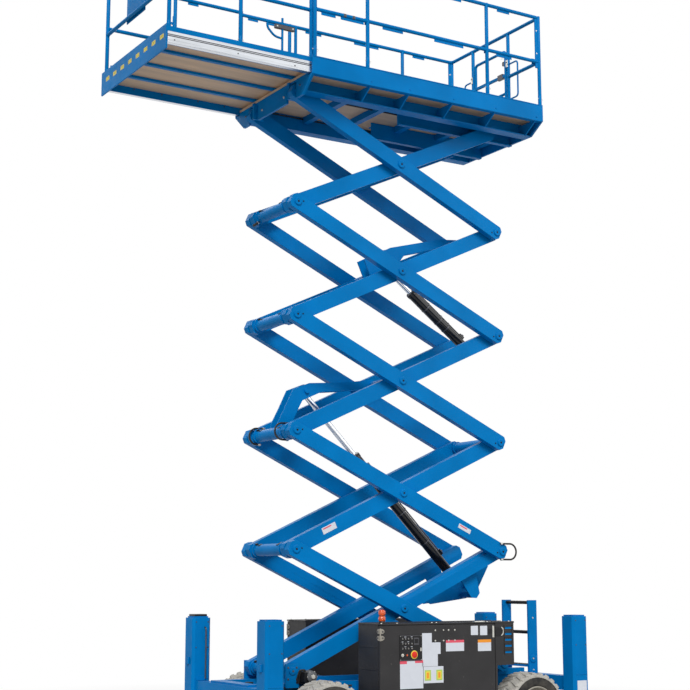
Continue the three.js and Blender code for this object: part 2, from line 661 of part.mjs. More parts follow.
for (const side of [-1, 1]) {
  const longeron = sideBox(side, CHASSIS_FRONT_X, CHASSIS_REAR_X, LONGERON_INNER_Y, LONGERON_OUTER_Y,
    CHASSIS_BOTTOM, CHASSIS_TOP);
  const blockInner = innerOuterFace + PIN_BLOCK_GAP;
  const blockOuter = blockInner + PIN_BLOCK_THICKNESS;
  chassisParts.push(longeron);
  chassisParts.push(sideBox(side, FIXED_PIN_X - PIN_BLOCK_HALF, FIXED_PIN_X + PIN_BLOCK_HALF,
    blockInner, blockOuter, CHASSIS_TOP - 40, PIN_BLOCK_TOP));
  chassisParts.push(sideBox(side, FIXED_PIN_X - PIN_BLOCK_HALF, FIXED_PIN_X + PIN_BLOCK_HALF,
    LONGERON_OUTER_Y - 1, blockOuter, CHASSIS_TOP - 40, CHASSIS_TOP - 10));
  chassisParts.push(barY(FIXED_PIN_X, BASE_PIN_HEIGHT, side * (innerOuterFace - ARM_WALL - PIN_REACH),
    side * (blockOuter + PIN_HEAD), PIN_RADIUS, PIN_SEGMENTS));
  chassisParts.push(sideBox(side, LEDGE_FRONT_X, LEDGE_REAR_X, LEDGE_INNER_Y, outerFace - 6,
    CHASSIS_TOP - 1, ledgeTop));
  for (const x of SADDLE_PLACES) {
    chassisParts.push(sideBox(side, x - SADDLE_WIDTH / 2, x + SADDLE_WIDTH / 2,
      LONGERON_OUTER_Y - 1, MODULE_INNER_Y - TOUCH, SADDLE_BOTTOM, SADDLE_TOP));
  }
}
add('chassis_frame', join(chassisParts), paint.blue);

// ---- side modules, each an open-faced tray with a door over its whole outer face ----
const moduleOuterY = MODULE_INNER_Y + MODULE_DEPTH;
const doorInnerY = moduleOuterY - DOOR_THICKNESS;

const moduleShell = (side) => {
  const wall = MODULE_WALL;
  const trayOuter = doorInnerY - DOOR_GAP;
  const whole = join([
    sideBox(side, MODULE_FRONT_X, MODULE_REAR_X, MODULE_INNER_Y, trayOuter, MODULE_BOTTOM, MODULE_TOP),
    sideBox(side, MODULE_FRONT_X, MODULE_REAR_X, trayOuter - 1, moduleOuterY,
      MODULE_TOP - wall, MODULE_TOP),
    sideBox(side, DOOR_REAR_X + DOOR_GAP, MODULE_TAIL_X, MODULE_INNER_Y, moduleOuterY,
      MODULE_TAIL_BOTTOM, MODULE_TOP),
    sideBox(side, DOOR_REAR_X + DOOR_GAP, MODULE_REAR_X, MODULE_INNER_Y, moduleOuterY,
      MODULE_BOTTOM, MODULE_TOP),
  ]);
  return cut(whole, [
    sideBox(side, MODULE_FRONT_X + wall, MODULE_REAR_X - wall, MODULE_INNER_Y + wall, trayOuter + 1,
      MODULE_BOTTOM + wall, MODULE_TOP - wall),
    sideBox(side, MODULE_REAR_X - wall - 1, MODULE_TAIL_X - wall, MODULE_INNER_Y + wall,
      moduleOuterY - wall, MODULE_TAIL_BOTTOM + wall, MODULE_TOP - wall),
  ]);
};

const moduleDoor = (side) => {
  const top = MODULE_TOP - MODULE_WALL - DOOR_GAP;
  const skin = DOOR_SKIN;
  const slab = sideBox(side, MODULE_FRONT_X, DOOR_REAR_X, doorInnerY, moduleOuterY, MODULE_BOTTOM, top);
  const pocket = sideBox(side, MODULE_FRONT_X + skin, DOOR_REAR_X - skin, doorInnerY - 1,
    moduleOuterY - skin, MODULE_BOTTOM + skin, top - skin);
  return slab.subtract(pocket);
};

add('control_module', moduleShell(-1), paint.black, 0.5);
add('control_door', moduleDoor(-1), paint.black, 0.5);
add('engine_module', moduleShell(1), paint.black, 0.5);
add('engine_door', moduleDoor(1), paint.black, 0.5);

const [engineLength, engineWidth, engineHeight] = ENGINE_SIZE;
const engineY = MODULE_INNER_Y + MODULE_DEPTH / 2 - 8;
const engineBottom = MODULE_BOTTOM + MODULE_WALL + TOUCH;
add('engine_block', box(ENGINE_X - engineLength / 2, ENGINE_X + engineLength / 2,
  engineY - engineWidth / 2, engineY + engineWidth / 2, engineBottom, engineBottom + engineHeight),
paint.grey, 0.6);

const beaconLobes = [[0, 0], [BEACON.base, 0], [BEACON.base, 24], [BEACON.lobe, 36], [BEACON.lobe, 60],
  [BEACON.base, 74], [BEACON.lobe, 88], [BEACON.lobe, 110], [BEACON.base, BEACON.height], [0, BEACON.height]];
const beaconGeometry = new THREE.LatheGeometry(beaconLobes.map(([r, h]) => new THREE.Vector2(r, h)), 16);
beaconGeometry.rotateX(Math.PI / 2);
beaconGeometry.translate(BEACON.x, BEACON.y, MODULE_TOP + TOUCH);
add('beacon', solid(beaconGeometry), paint.orange, 0.3);

// ---- outriggers ----
const outriggerRows = { front: OUTRIGGER_FRONT_X, rear: OUTRIGGER_REAR_X };

const housing = (x, y) => join([
  squareTube(x, y, HOUSING_SIZE, HOUSING_WALL, HOUSING_CHAMFER, HOUSING_BOTTOM, HOUSING_TOP),
  box(x - HOUSING_SIZE / 2 + HOUSING_CHAMFER, x + HOUSING_SIZE / 2 - HOUSING_CHAMFER,
    y - HOUSING_SIZE / 2 + HOUSING_CHAMFER, y + HOUSING_SIZE / 2 - HOUSING_CHAMFER,
    HOUSING_TOP - 1, HOUSING_TOP + HOUSING_CAP),
  box(x - HOUSING_SIZE / 2 + HOUSING_WALL - 1, x + HOUSING_SIZE / 2 - HOUSING_WALL + 1,
    y - HOUSING_SIZE / 2 + HOUSING_WALL - 1, y + HOUSING_SIZE / 2 - HOUSING_WALL + 1,
    HOUSING_TOP - HOUSING_CAP, HOUSING_TOP),
]);

const leg = (x, y) => join([
  squareTube(x, y, LEG_SIZE, LEG_WALL, 6, LEG_FOOT, LEG_TOP),
  box(x - LEG_SIZE / 2 + LEG_WALL - 1, x + LEG_SIZE / 2 - LEG_WALL + 1,
    y - LEG_SIZE / 2 + LEG_WALL - 1, y + LEG_SIZE / 2 - LEG_WALL + 1, LEG_FOOT, LEG_FOOT + LEG_WALL),
  bar([x, y, PAD_BOTTOM + 2], [x, y, LEG_FOOT + 1], NECK_RADIUS),
  bar([x, y, PAD_BOTTOM], [x, y, PAD_BOTTOM + PAD_THICKNESS], PAD_RADIUS),
]);

for (const [row, x] of Object.entries(outriggerRows)) {
  for (const [name, side] of Object.entries(sides)) {
    add(`outrigger_housing_${row}_${name}`, housing(x, side * OUTRIGGER_Y), paint.blue);
    add(`outrigger_leg_${row}_${name}`, leg(x, side * OUTRIGGER_Y), paint.grey, 0.4);
  }
}

// ---- access ladder ----
const ladderParts = [
  box(LADDER_FRONT_X, LADDER_FRONT_X + LADDER_DEPTH, -LADDER_HALF_WIDTH, LADDER_HALF_WIDTH,
    LADDER_BOTTOM, LADDER_BOTTOM + STEP_THICKNESS),
];
for (const side of [-1, 1]) {
  ladderParts.push(sideBox(side, LADDER_FRONT_X, LADDER_FRONT_X + LADDER_DEPTH,
    LADDER_HALF_WIDTH - LADDER_RAIL, LADDER_HALF_WIDTH, BEAM_TOP + TOUCH, LADDER_TOP));
}
for (const z of RUNG_HEIGHTS) {
  ladderParts.push(barY(LADDER_FRONT_X + LADDER_DEPTH / 2, z, -LADDER_HALF_WIDTH + 1,
    LADDER_HALF_WIDTH - 1, RUNG_RADIUS, PIN_SEGMENTS));
}
add('ladder', join(ladderParts), paint.blue);

// ---- platform ----
const channelBottom = topPinZ - SIDE_BOX_BELOW_PIN;
const memberTop = floorBottom - TOUCH;
const railOuterY = innerFace - DECK_GAP;
const railWebY = innerFace - ROLLER_WIDTH - DECK_GAP - ROLLER_RAIL_PLATE;

// The outline of both end plates: square at the top, cut off at its lower corners.
const endOutline = (bottom, top) => [
  [-PLATFORM_HALF_WIDTH, top], [-PLATFORM_HALF_WIDTH, skirtBottom + CORNER_STEP],
  [-SIDE_BEAM_OUTER_Y, bottom], [SIDE_BEAM_OUTER_Y, bottom],
  [PLATFORM_HALF_WIDTH, skirtBottom + CORNER_STEP], [PLATFORM_HALF_WIDTH, top],
];

// One side beam's section, a channel that opens outwards.
const sideBeamSection = (side) => {
  const t = CHANNEL_PLATE;
  const points = [
    [SIDE_BOX_INNER_Y, channelBottom], [SIDE_BEAM_OUTER_Y, channelBottom],
    [SIDE_BEAM_OUTER_Y, channelBottom + t], [SIDE_BOX_INNER_Y + t, channelBottom + t],
    [SIDE_BOX_INNER_Y + t, memberTop], [SIDE_BOX_INNER_Y, memberTop],
  ];
  return points.map(([y, z]) => [side * y, z]);
};

// A cantilever plate from a side beam out to the skirt.
const cantilever = (side, x) => {
  const half = CANTILEVER_PLATE / 2;
  const top = skirtBottom + SKIRT_LIP - WELD_STEP;
  const points = [
    [SIDE_BOX_INNER_Y + WELD_STEP, channelBottom + WELD_STEP],
    [SIDE_BEAM_OUTER_Y - WELD_STEP, channelBottom + WELD_STEP],
    [PLATFORM_HALF_WIDTH - SKIRT_THICKNESS + WELD_STEP, skirtBottom + WELD_STEP],
    [PLATFORM_HALF_WIDTH - SKIRT_THICKNESS + WELD_STEP, top], [SIDE_BOX_INNER_Y + WELD_STEP, top],
  ];
  return plateX(points.map(([y, z]) => [side * y, z]), x - half, x + half);
};

// One roller rail's section, a channel that opens towards the arm whose roller runs in it.
const rollerRailSection = (side) => {
  const t = ROLLER_RAIL_PLATE;
  const low = topPinZ - ROLLER_RADIUS - TOUCH;
  const high = topPinZ + ROLLER_RADIUS + DECK_GAP;
  const points = [
    [railWebY, low - t], [railOuterY, low - t], [railOuterY, low], [railWebY + t, low],
    [railWebY + t, high], [railOuterY, high], [railOuterY, high + t], [railWebY + t, high + t],
    [railWebY + t, memberTop - 3 * WELD_STEP], [railWebY, memberTop - 3 * WELD_STEP],
  ];
  return points.map(([y, z]) => [side * y, z]);
};

const frontPlate = join([
  plateX(endOutline(topPinZ - FRONT_PLATE_DROP, skirtBottom + SKIRT_LIP - 2 * WELD_STEP),
    PLATFORM_FRONT_X, PLATFORM_FRONT_X + FRONT_PLATE),
  box(PLATFORM_FRONT_X + WELD_STEP, PLATFORM_FRONT_X + FRONT_PLATE - WELD_STEP,
    -FLOOR_HALF_WIDTH + WELD_STEP, FLOOR_HALF_WIDTH - WELD_STEP, topPinZ, memberTop - 2 * WELD_STEP),
]);
const armSlots = bothSides((side) => sideBox(side, PLATFORM_FRONT_X - 1, PLATFORM_FRONT_X + FRONT_PLATE + 1,
  innerFace - SLOT_MARGIN, outerOuterFace + PIN_HEAD + DECK_GAP, topPinZ - FRONT_PLATE_DROP - 1,
  topPinZ + SLOT_TOP));
const frameParts = [
  plateX(endOutline(channelBottom, skirtTop), platformRearX - END_PLATE, platformRearX),
  cut(frontPlate, armSlots),
];
for (const side of [-1, 1]) {
  frameParts.push(plateX(sideBeamSection(side), PLATFORM_FRONT_X + WELD_STEP, platformRearX - WELD_STEP));
  frameParts.push(sideBox(side, PLATFORM_FRONT_X - WELD_STEP, platformRearX - 2 * WELD_STEP,
    PLATFORM_HALF_WIDTH - SKIRT_THICKNESS, PLATFORM_HALF_WIDTH - WELD_STEP, skirtBottom, skirtTop - WELD_STEP));
  frameParts.push(sideBox(side, PLATFORM_FRONT_X + 2 * WELD_STEP, platformRearX - 3 * WELD_STEP,
    PLATFORM_HALF_WIDTH - SKIRT_LIP_WIDTH, PLATFORM_HALF_WIDTH - SKIRT_THICKNESS + WELD_STEP,
    skirtBottom + WELD_STEP / 2, skirtBottom + SKIRT_LIP));
  frameParts.push(plateX(rollerRailSection(side), ROLLER_RAIL_FRONT_X, platformRearX - END_PLATE + WELD_STEP));
  for (const x of CROSS_MEMBER_PLACES.slice(1)) {
    frameParts.push(cantilever(side, x));
  }
  const lug = sideBox(side, FIXED_PIN_X - PLATFORM_LUG_HALF, FIXED_PIN_X + PLATFORM_LUG_HALF,
    INNER_ARM_Y, innerOuterFace, topPinZ - PLATFORM_LUG_HALF, memberTop - 4 * WELD_STEP);
  const bore = barY(FIXED_PIN_X, topPinZ, side * (INNER_ARM_Y - 1), side * (innerOuterFace + 1),
    PIN_RADIUS + PIN_CLEARANCE, PIN_SEGMENTS);
  frameParts.push(lug.subtract(bore));
}
for (const x of CROSS_MEMBER_PLACES) {
  const half = CROSS_MEMBER_WIDTH / 2;
  frameParts.push(box(x - half, x + half, -SIDE_BOX_INNER_Y - WELD_STEP, SIDE_BOX_INNER_Y + WELD_STEP,
    memberTop - CROSS_MEMBER_DEPTH, memberTop - WELD_STEP));
  const keelHalf = (x < ROLLER_RAIL_FRONT_X ? SIDE_BOX_INNER_Y : railWebY) + 2 * WELD_STEP;
  if (x > CROSS_MEMBER_PLACES[0]) {
    frameParts.push(box(x - half + WELD_STEP, x + half - WELD_STEP, -keelHalf, keelHalf,
      memberTop - KEEL_DEPTH, memberTop - 2 * WELD_STEP));
  }
}
const entryNotch = box(platformRearX - END_PLATE - 1, platformRearX + 1,
  GATE_NEAR_Y + RAIL_RADIUS, GATE_FAR_Y - RAIL_RADIUS, skirtTop - ENTRY_NOTCH, skirtTop + 1);
add('platform_frame', join(frameParts).subtract(entryNotch), paint.blue);

add('platform_floor', box(PLATFORM_FRONT_X, platformRearX - END_PLATE - TOUCH,
  -FLOOR_HALF_WIDTH, FLOOR_HALF_WIDTH, floorBottom, floorTop), paint.board, 0.7);

// ---- platform guardrail and entry gate ----
const topRailZ = floorTop + TOP_RAIL_HEIGHT;
const midRailZ = floorTop + MID_RAIL_HEIGHT;
const postFoot = skirtTop + TOUCH;
const endRailX = platformRearX - RAIL_RADIUS;
const rail = (from, to, radius = RAIL_RADIUS) => bar(from, to, radius, PIN_SEGMENTS);
const post = (x, y, top, foot, radius = RAIL_RADIUS) => rail([x, y, foot], [x, y, top], radius);

const sideGuard = (side, endPostY, topRailEndY) => {
  const y = side * PLATFORM_RAIL_Y;
  const postTop = topRailZ + RAIL_RADIUS;
  const parts = [post(endRailX, endPostY, topRailZ, postFoot)];
  for (const z of [topRailZ, midRailZ]) {
    parts.push(rail([PLATFORM_POST_PLACES[0], y, z], [endRailX, y, z]));
    parts.push(rail([endRailX, y, z], [endRailX, z === topRailZ ? topRailEndY : endPostY, z]));
  }
  for (const x of [...PLATFORM_POST_PLACES, endRailX]) {
    parts.push(post(x, y, postTop, postFoot));
  }
  return join(parts);
};
add('guardrail_left', sideGuard(-1, GATE_NEAR_Y, GATE_FAR_Y - RAIL_RADIUS - TOUCH), paint.blue);
add('guardrail_right', sideGuard(1, GATE_FAR_Y, GATE_FAR_Y), paint.blue);

const gateEdges = [GATE_NEAR_Y + RAIL_RADIUS + GATE_GAP + GATE_TUBE, GATE_FAR_Y - RAIL_RADIUS - GATE_GAP - GATE_TUBE];
const gateParts = gateEdges.map((y) => post(endRailX, y, floorTop + GATE_TOP + GATE_TUBE,
  floorTop + GATE_BOTTOM - GATE_TUBE, GATE_TUBE));
for (const height of [GATE_BOTTOM, GATE_BAND, GATE_TOP]) {
  gateParts.push(rail([endRailX, gateEdges[0], floorTop + height],
    [endRailX, gateEdges[1], floorTop + height], GATE_TUBE));
}
add('entry_gate', join(gateParts), paint.blue);

// ---- extension deck ----
const extensionRibBottom = floorTop + DECK_GAP;
const extensionFloorBottom = extensionRibBottom + EXTENSION_RIB;
const extensionFloorTop = extensionFloorBottom + EXTENSION_FLOOR;
const extensionTailX = PLATFORM_FRONT_X + DECK_OVERLAP;
const railHalf = EXTENSION_HALF_WIDTH - EXTENSION_RAIL_WIDTH;

const deckParts = [
  box(extensionFrontX, extensionFrontX + EXTENSION_FRONT_PLATE, -EXTENSION_HALF_WIDTH, EXTENSION_HALF_WIDTH,
    topPinZ + EXTENSION_FRONT_BOTTOM, topPinZ + EXTENSION_FRONT_TOP),
];
for (const y of RIB_PLACES) {
  deckParts.push(box(extensionFrontX + 1, extensionTailX, y - RIB_WIDTH / 2, y + RIB_WIDTH / 2,
    extensionRibBottom, extensionFloorBottom + 1));
}
const sideRails = [];
for (const side of [-1, 1]) {
  sideRails.push(sideBox(side, extensionFrontX + EXTENSION_FRONT_PLATE + TOUCH,
    PLATFORM_FRONT_X + EXTENSION_RAIL_TAIL, railHalf + TOUCH, EXTENSION_HALF_WIDTH,
    topPinZ + EXTENSION_RAIL_BOTTOM, topPinZ + EXTENSION_RAIL_TOP));
  deckParts.push(sideBox(side, extensionFrontX + 1, extensionTailX,
    EXTENSION_HALF_WIDTH - TOE_PLATE, EXTENSION_HALF_WIDTH,
    topPinZ + EXTENSION_RAIL_TOP + TOUCH, topPinZ + EXTENSION_TOE_TOP));
  deckParts.push(sideBox(side, extensionFrontX + 1, extensionTailX,
    railHalf, EXTENSION_HALF_WIDTH,
    topPinZ + EXTENSION_RAIL_TOP + TOUCH, topPinZ + EXTENSION_RAIL_TOP + TOUCH + TOE_PLATE));
  deckParts.push(sideBox(side, extensionFrontX + 1, extensionTailX,
    railHalf - TOE_PLATE, railHalf, topPinZ + EXTENSION_RAIL_BOTTOM,
    topPinZ + EXTENSION_RAIL_TOP + TOUCH + TOE_PLATE));
}
add('extension_frame', join(deckParts), paint.blue);
add('extension_rail_left', sideRails[0], paint.grey, 0.4, 0.9);
add('extension_rail_right', sideRails[1], paint.grey, 0.4, 0.9);
add('extension_floor', box(extensionFrontX + EXTENSION_FRONT_PLATE + TOUCH, extensionTailX,
  -railHalf + TOE_PLATE + TOUCH, railHalf - TOE_PLATE - TOUCH,
  extensionFloorBottom + 1 + TOUCH, extensionFloorTop + 1), paint.board, 0.7);

// ---- extension guardrail and platform control box ----
const frontRailX = EXTENSION_POST_PLACES[0];
const frontRailZ = floorTop + FRONT_MID_RAIL_HEIGHT;
const extensionPostFoot = topPinZ + EXTENSION_RAIL_TOP + TOUCH + TOE_PLATE + TOUCH;
const panelX = frontRailX + RAIL_RADIUS - 1;

const extensionGuard = [
  rail([frontRailX, -EXTENSION_RAIL_Y, topRailZ], [frontRailX, EXTENSION_RAIL_Y, topRailZ]),
  rail([frontRailX, -EXTENSION_RAIL_Y, frontRailZ], [frontRailX, EXTENSION_RAIL_Y, frontRailZ]),
  box(panelX, panelX + PANEL_THICKNESS, PANEL_NEAR_Y, PANEL_FAR_Y,
    frontRailZ - PANEL_DROP, topRailZ + PANEL_DROP),
];
for (const side of [-1, 1]) {
  const y = side * EXTENSION_RAIL_Y;
  for (const z of [topRailZ, midRailZ]) {
    extensionGuard.push(rail([frontRailX, y, z], [EXTENSION_POST_PLACES.at(-1), y, z]));
  }
  for (const x of EXTENSION_POST_PLACES) {
    extensionGuard.push(post(x, y, topRailZ + RAIL_RADIUS, extensionPostFoot));
  }
}
add('extension_guardrail', join(extensionGuard), paint.blue);

const boxFrontX = panelX + PANEL_THICKNESS + TOUCH;
const boxTop = floorTop + CONTROL_BOX_TOP;
const controlBox = plateY([
  [boxFrontX, boxTop - CONTROL_BOX_HEIGHT], [boxFrontX + CONTROL_BOX_DEPTH, boxTop - CONTROL_BOX_HEIGHT],
  [boxFrontX + CONTROL_BOX_DEPTH, boxTop - CONTROL_BOX_SLOPE], [boxFrontX, boxTop],
], PANEL_NEAR_Y + 2 * PANEL_DROP, PANEL_FAR_Y - 2 * PANEL_DROP);
add('control_box', controlBox, paint.black, 0.5);

export default lift;
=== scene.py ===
"""Looks of a rough-terrain scissor lift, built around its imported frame.

Sizes are in millimetres from the middle of the arm stack, with +X to the ladder end, and the
bench that makes each piece places it in the frame's own axes, in metres.
"""

from __future__ import annotations

import json
import logging
import math
from dataclasses import dataclass
from enum import Enum
from typing import Iterable, Iterator, Sequence

import bmesh
import bpy
from mathutils import Matrix, Vector

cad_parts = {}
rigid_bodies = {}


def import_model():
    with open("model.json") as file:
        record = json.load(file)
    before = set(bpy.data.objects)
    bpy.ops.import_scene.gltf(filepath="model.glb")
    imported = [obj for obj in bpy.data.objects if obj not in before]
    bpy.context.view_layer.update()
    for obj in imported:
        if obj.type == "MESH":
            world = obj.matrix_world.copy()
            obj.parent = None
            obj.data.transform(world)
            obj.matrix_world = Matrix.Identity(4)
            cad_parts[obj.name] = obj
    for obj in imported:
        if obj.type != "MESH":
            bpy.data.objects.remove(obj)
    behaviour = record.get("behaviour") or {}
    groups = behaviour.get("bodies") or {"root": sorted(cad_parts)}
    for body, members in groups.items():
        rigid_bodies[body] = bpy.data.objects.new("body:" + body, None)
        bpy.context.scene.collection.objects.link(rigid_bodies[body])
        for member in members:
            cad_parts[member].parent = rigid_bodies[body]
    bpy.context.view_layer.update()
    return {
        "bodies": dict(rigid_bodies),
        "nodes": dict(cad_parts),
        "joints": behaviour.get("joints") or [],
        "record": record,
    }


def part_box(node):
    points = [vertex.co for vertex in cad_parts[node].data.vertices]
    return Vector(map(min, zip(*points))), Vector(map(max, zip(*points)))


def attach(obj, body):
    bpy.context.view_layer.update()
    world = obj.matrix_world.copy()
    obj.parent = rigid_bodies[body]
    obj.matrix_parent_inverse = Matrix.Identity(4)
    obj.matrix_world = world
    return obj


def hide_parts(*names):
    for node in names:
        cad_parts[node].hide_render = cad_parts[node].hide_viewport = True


LOG = logging.getLogger("scissor_lift")
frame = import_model()
JOINTS = {joint["name"]: joint for joint in frame["joints"]}
MM = 0.001
TURN = 2 * math.pi
SHARP = math.radians(38)
FLAT = math.radians(0.4)
WELD_GAP = 2e-5
BEND_STEPS = 6
ARM_LENGTH = 2613.0
TILT = math.radians(24.75)
RISE = ARM_LENGTH * math.sin(TILT)
FIXED_X = -ARM_LENGTH * math.cos(TILT) / 2
BASE_Z = 750.0
TOP_Z = BASE_Z + 5 * RISE
FLOOR_Z = TOP_Z + 135
PLACE = Matrix.Translation((JOINTS["outer_1_turn"]["pos_m"][0], 0, 0)) @ Matrix.Scale(MM, 4)

Point = Sequence[float]
ALONG, ACROSS, UP = (1, 0, 0), (0, 1, 0), (0, 0, 1)
BOTH = (-1, 1)
# Heads of small hardware, as a rod's two radii, sides, edge and coat.
HEX_HEAD, SMALL_HEX = (11, 10, 6, 1, 1), (7, 6, 6, 1, 1)
ROUND_HEAD, SMALL_ROUND = (9, 8, 12, 1, 1), (8, 7, 12, 1, 1)


class Side(Enum):
    """The two sides of the machine, by the sign of Y."""

    LEFT = -1
    RIGHT = 1

    @property
    def word(self) -> str:
        """The side's name in a piece's name."""
        return self.name.lower()


class Arm(Enum):
    """The two sorts of arm: inner ones climb towards the ladder end, outer ones fall."""

    INNER = "inner"
    OUTER = "outer"


def srgb(red: int, green: int, blue: int) -> tuple[float, float, float]:
    """A screen colour as the linear numbers that a shader takes."""
    parts = (part / 255 for part in (red, green, blue))
    return tuple(part / 12.92 if part <= 0.04 else ((part + 0.055) / 1.055) ** 2.4 for part in parts)


def shift(x: float = 0.0, y: float = 0.0, z: float = 0.0) -> Matrix:
    """A move along the three axes."""
    return Matrix.Translation((x, y, z))


def spread(count: int, radius: float = 1.0, lag: float = 0.0) -> list[tuple[float, float]]:
    """Points evenly round a circle, the first one a share of a step late."""
    angles = [TURN * (step + lag) / count for step in range(count)]
    return [(radius * math.cos(angle), radius * math.sin(angle)) for angle in angles]


# ---- finishes ----
class Wiring:
    """A material's node tree, with short ways to add and join nodes."""

    def __init__(self, name: str, stretch: Point = (1, 1, 1)) -> None:
        """Starts a material.

        Args:
            name: the material's name.
            stretch: how far its patterns are squeezed along each axis.
        """
        self.material = bpy.data.materials.new(name)
        self.material.use_nodes = True
        self.tree = self.material.node_tree
        self.shader = self.tree.nodes["Principled BSDF"]
        coordinates = self.tree.nodes.new("ShaderNodeTexCoord")
        mapping = self.tree.nodes.new("ShaderNodeMapping")
        mapping.inputs["Scale"].default_value = stretch
        self.join(coordinates.outputs["Object"], mapping.inputs["Vector"])
        self.at = mapping.outputs["Vector"]

    def join(self, source: bpy.types.NodeSocket, target: bpy.types.NodeSocket) -> None:
        """Links one socket to another."""
        self.tree.links.new(source, target)

    def noise(self, scale: float, detail: float = 3.0, rough: float = 0.5) -> bpy.types.NodeSocket:
        """A cloudy pattern.

        Args:
            scale: how many clouds to a metre.
            detail: how many finer layers it has.
            rough: how strong the finer layers are.

        Returns:
            The pattern's value.
        """
        node = self.tree.nodes.new("ShaderNodeTexNoise")
        for name, value in (("Scale", scale), ("Detail", detail), ("Roughness", rough)):
            node.inputs[name].default_value = value
        self.join(self.at, node.inputs["Vector"])
        return node.outputs["Fac"]

    def cells(self, scale: float) -> bpy.types.NodeSocket:
        """A pattern of cells, by the distance to each cell's middle.

        Args:
            scale: how many cells to a metre.

        Returns:
            The pattern's value.
        """
        node = self.tree.nodes.new("ShaderNodeTexVoronoi")
        node.inputs["Scale"].default_value = scale
        self.join(self.at, node.inputs["Vector"])
        return node.outputs["Distance"]

    def waves(self, scale: float, axis: str) -> bpy.types.NodeSocket:
        """Even bands across one axis.

        Args:
            scale: how close the bands are.
            axis: the axis that they cross.

        Returns:
            The pattern's value.
        """
        node = self.tree.nodes.new("ShaderNodeTexWave")
        node.bands_direction = axis
        node.inputs["Scale"].default_value = scale
        node.inputs["Distortion"].default_value = 0.0
        self.join(self.at, node.inputs["Vector"])
        return node.outputs["Fac"]

    def patch(self, scale: float, detail: float, low: float, high: float, top: float = 1.0,
              rough: float = 0.5) -> bpy.types.NodeSocket:
        """Patches of a cloudy pattern, from 0 to the top where it passes low to high."""
        return self.band(self.noise(scale, detail, rough), low, high, 0.0, top)

    def upward(self) -> bpy.types.NodeSocket:
        """How far the surface faces up, which is where dust lies.

        Returns:
            The share, 1 where the surface faces straight up.
        """
        geometry = self.tree.nodes.new("ShaderNodeNewGeometry")
        split = self.tree.nodes.new("ShaderNodeSeparateXYZ")
        self.join(geometry.outputs["Normal"], split.inputs["Vector"])
        return split.outputs["Z"]

    def band(self, value: bpy.types.NodeSocket, low: float, high: float,
             to_low: float = 0.0, to_high: float = 1.0) -> bpy.types.NodeSocket:
        """A value spread from one range to another and held inside it.

        Args:
            value: the value to spread.
            low: the value that gives to_low.
            high: the value that gives to_high.
            to_low: the least result.
            to_high: the greatest result.

        Returns:
            The spread value.
        """
        node = self.tree.nodes.new("ShaderNodeMapRange")
        for index, number in enumerate((low, high, to_low, to_high), start=1):
            node.inputs[index].default_value = number
        self.join(value, node.inputs[0])
        return node.outputs[0]

    def times(self, first: bpy.types.NodeSocket, second: bpy.types.NodeSocket | float) -> bpy.types.NodeSocket:
        """Two values multiplied.

        Args:
            first: one value.
            second: the other, as a socket or a number.

        Returns:
            The product.
        """
        node = self.tree.nodes.new("ShaderNodeMath")
        node.operation = "MULTIPLY"
        self.join(first, node.inputs[0])
        if isinstance(second, float):
            node.inputs[1].default_value = second
        else:
            self.join(second, node.inputs[1])
        return node.outputs[0]

    def mix(self, share: bpy.types.NodeSocket, first: Point | bpy.types.NodeSocket,
            second: Point) -> bpy.types.NodeSocket:
        """Two colours mixed.

        Args:
            share: how much of the second colour shows.
            first: a colour or a socket that gives one.
            second: the colour at a share of 1.

        Returns:
            The mixed colour.
        """
        node = self.tree.nodes.new("ShaderNodeMix")
        node.data_type = "RGBA"
        self.join(share, node.inputs[0])
        if isinstance(first, bpy.types.NodeSocket):
            self.join(first, node.inputs[6])
        else:
            node.inputs[6].default_value = (*first, 1)
        node.inputs[7].default_value = (*second, 1)
        return node.outputs[2]

    def bump(self, height: bpy.types.NodeSocket, depth: float, strength: float) -> None:
        """Raises the surface by a value, to a depth in metres.

        Args:
            height: the value.
            depth: how far it raises the surface where it is 1.
            strength: how much of that shows.
        """
        node = self.tree.nodes.new("ShaderNodeBump")
        node.inputs["Distance"].default_value = depth
        node.inputs["Strength"].default_value = strength
        self.join(height, node.inputs["Height"])
        if self.shader.inputs["Normal"].is_linked:
            self.join(self.shader.inputs["Normal"].links[0].from_socket, node.inputs["Normal"])
        self.join(node.outputs["Normal"], self.shader.inputs["Normal"])

    def colour(self, paint: bpy.types.NodeSocket) -> None:
        """Gives the surface its colour."""
        self.join(paint, self.shader.inputs["Base Color"])

    def rough(self, value: bpy.types.NodeSocket, low: float, high: float, least: float, most: float) -> None:
        """Spreads the roughness over a range by a value."""
        self.join(self.band(value, low, high, least, most), self.shader.inputs["Roughness"])

    def shine(self, level: float) -> None:
        """Sets how strongly the surface mirrors what stands square to it."""
        self.shader.inputs["Specular IOR Level"].default_value = level

    def coat(self, weight: float, roughness: float) -> None:
        """Lays a clear coat of one gloss over the whole surface."""
        self.shader.inputs["Coat Weight"].default_value = weight
        self.shader.inputs["Coat Roughness"].default_value = roughness


@dataclass(frozen=True)
class Finish:
    """A surface finish: its colour, its gloss and how it has aged."""

    name: str
    colour: Point
    roughness: float = 0.4
    stretch: Point = (1, 1, 1)

    def material(self) -> bpy.types.Material:
        """The finish's material, made the first time it is asked for.

        Returns:
            The material.
        """
        made = bpy.data.materials.get(self.name)
        if made is None:
            wiring = Wiring(self.name, self.stretch)
            self.wire(wiring)
            made = wiring.material
            made.diffuse_color = (*self.colour, 1)
        return made

    def wire(self, w: Wiring) -> None:
        """Fills the node tree.

        Args:
            w: the material's node tree.
        """
        raise NotImplementedError

    def tone(self, share: float) -> tuple[float, float, float]:
        """The finish's colour made darker, below 1, or lighter, above 1."""
        return tuple(min(1.0, part * share) for part in self.colour)


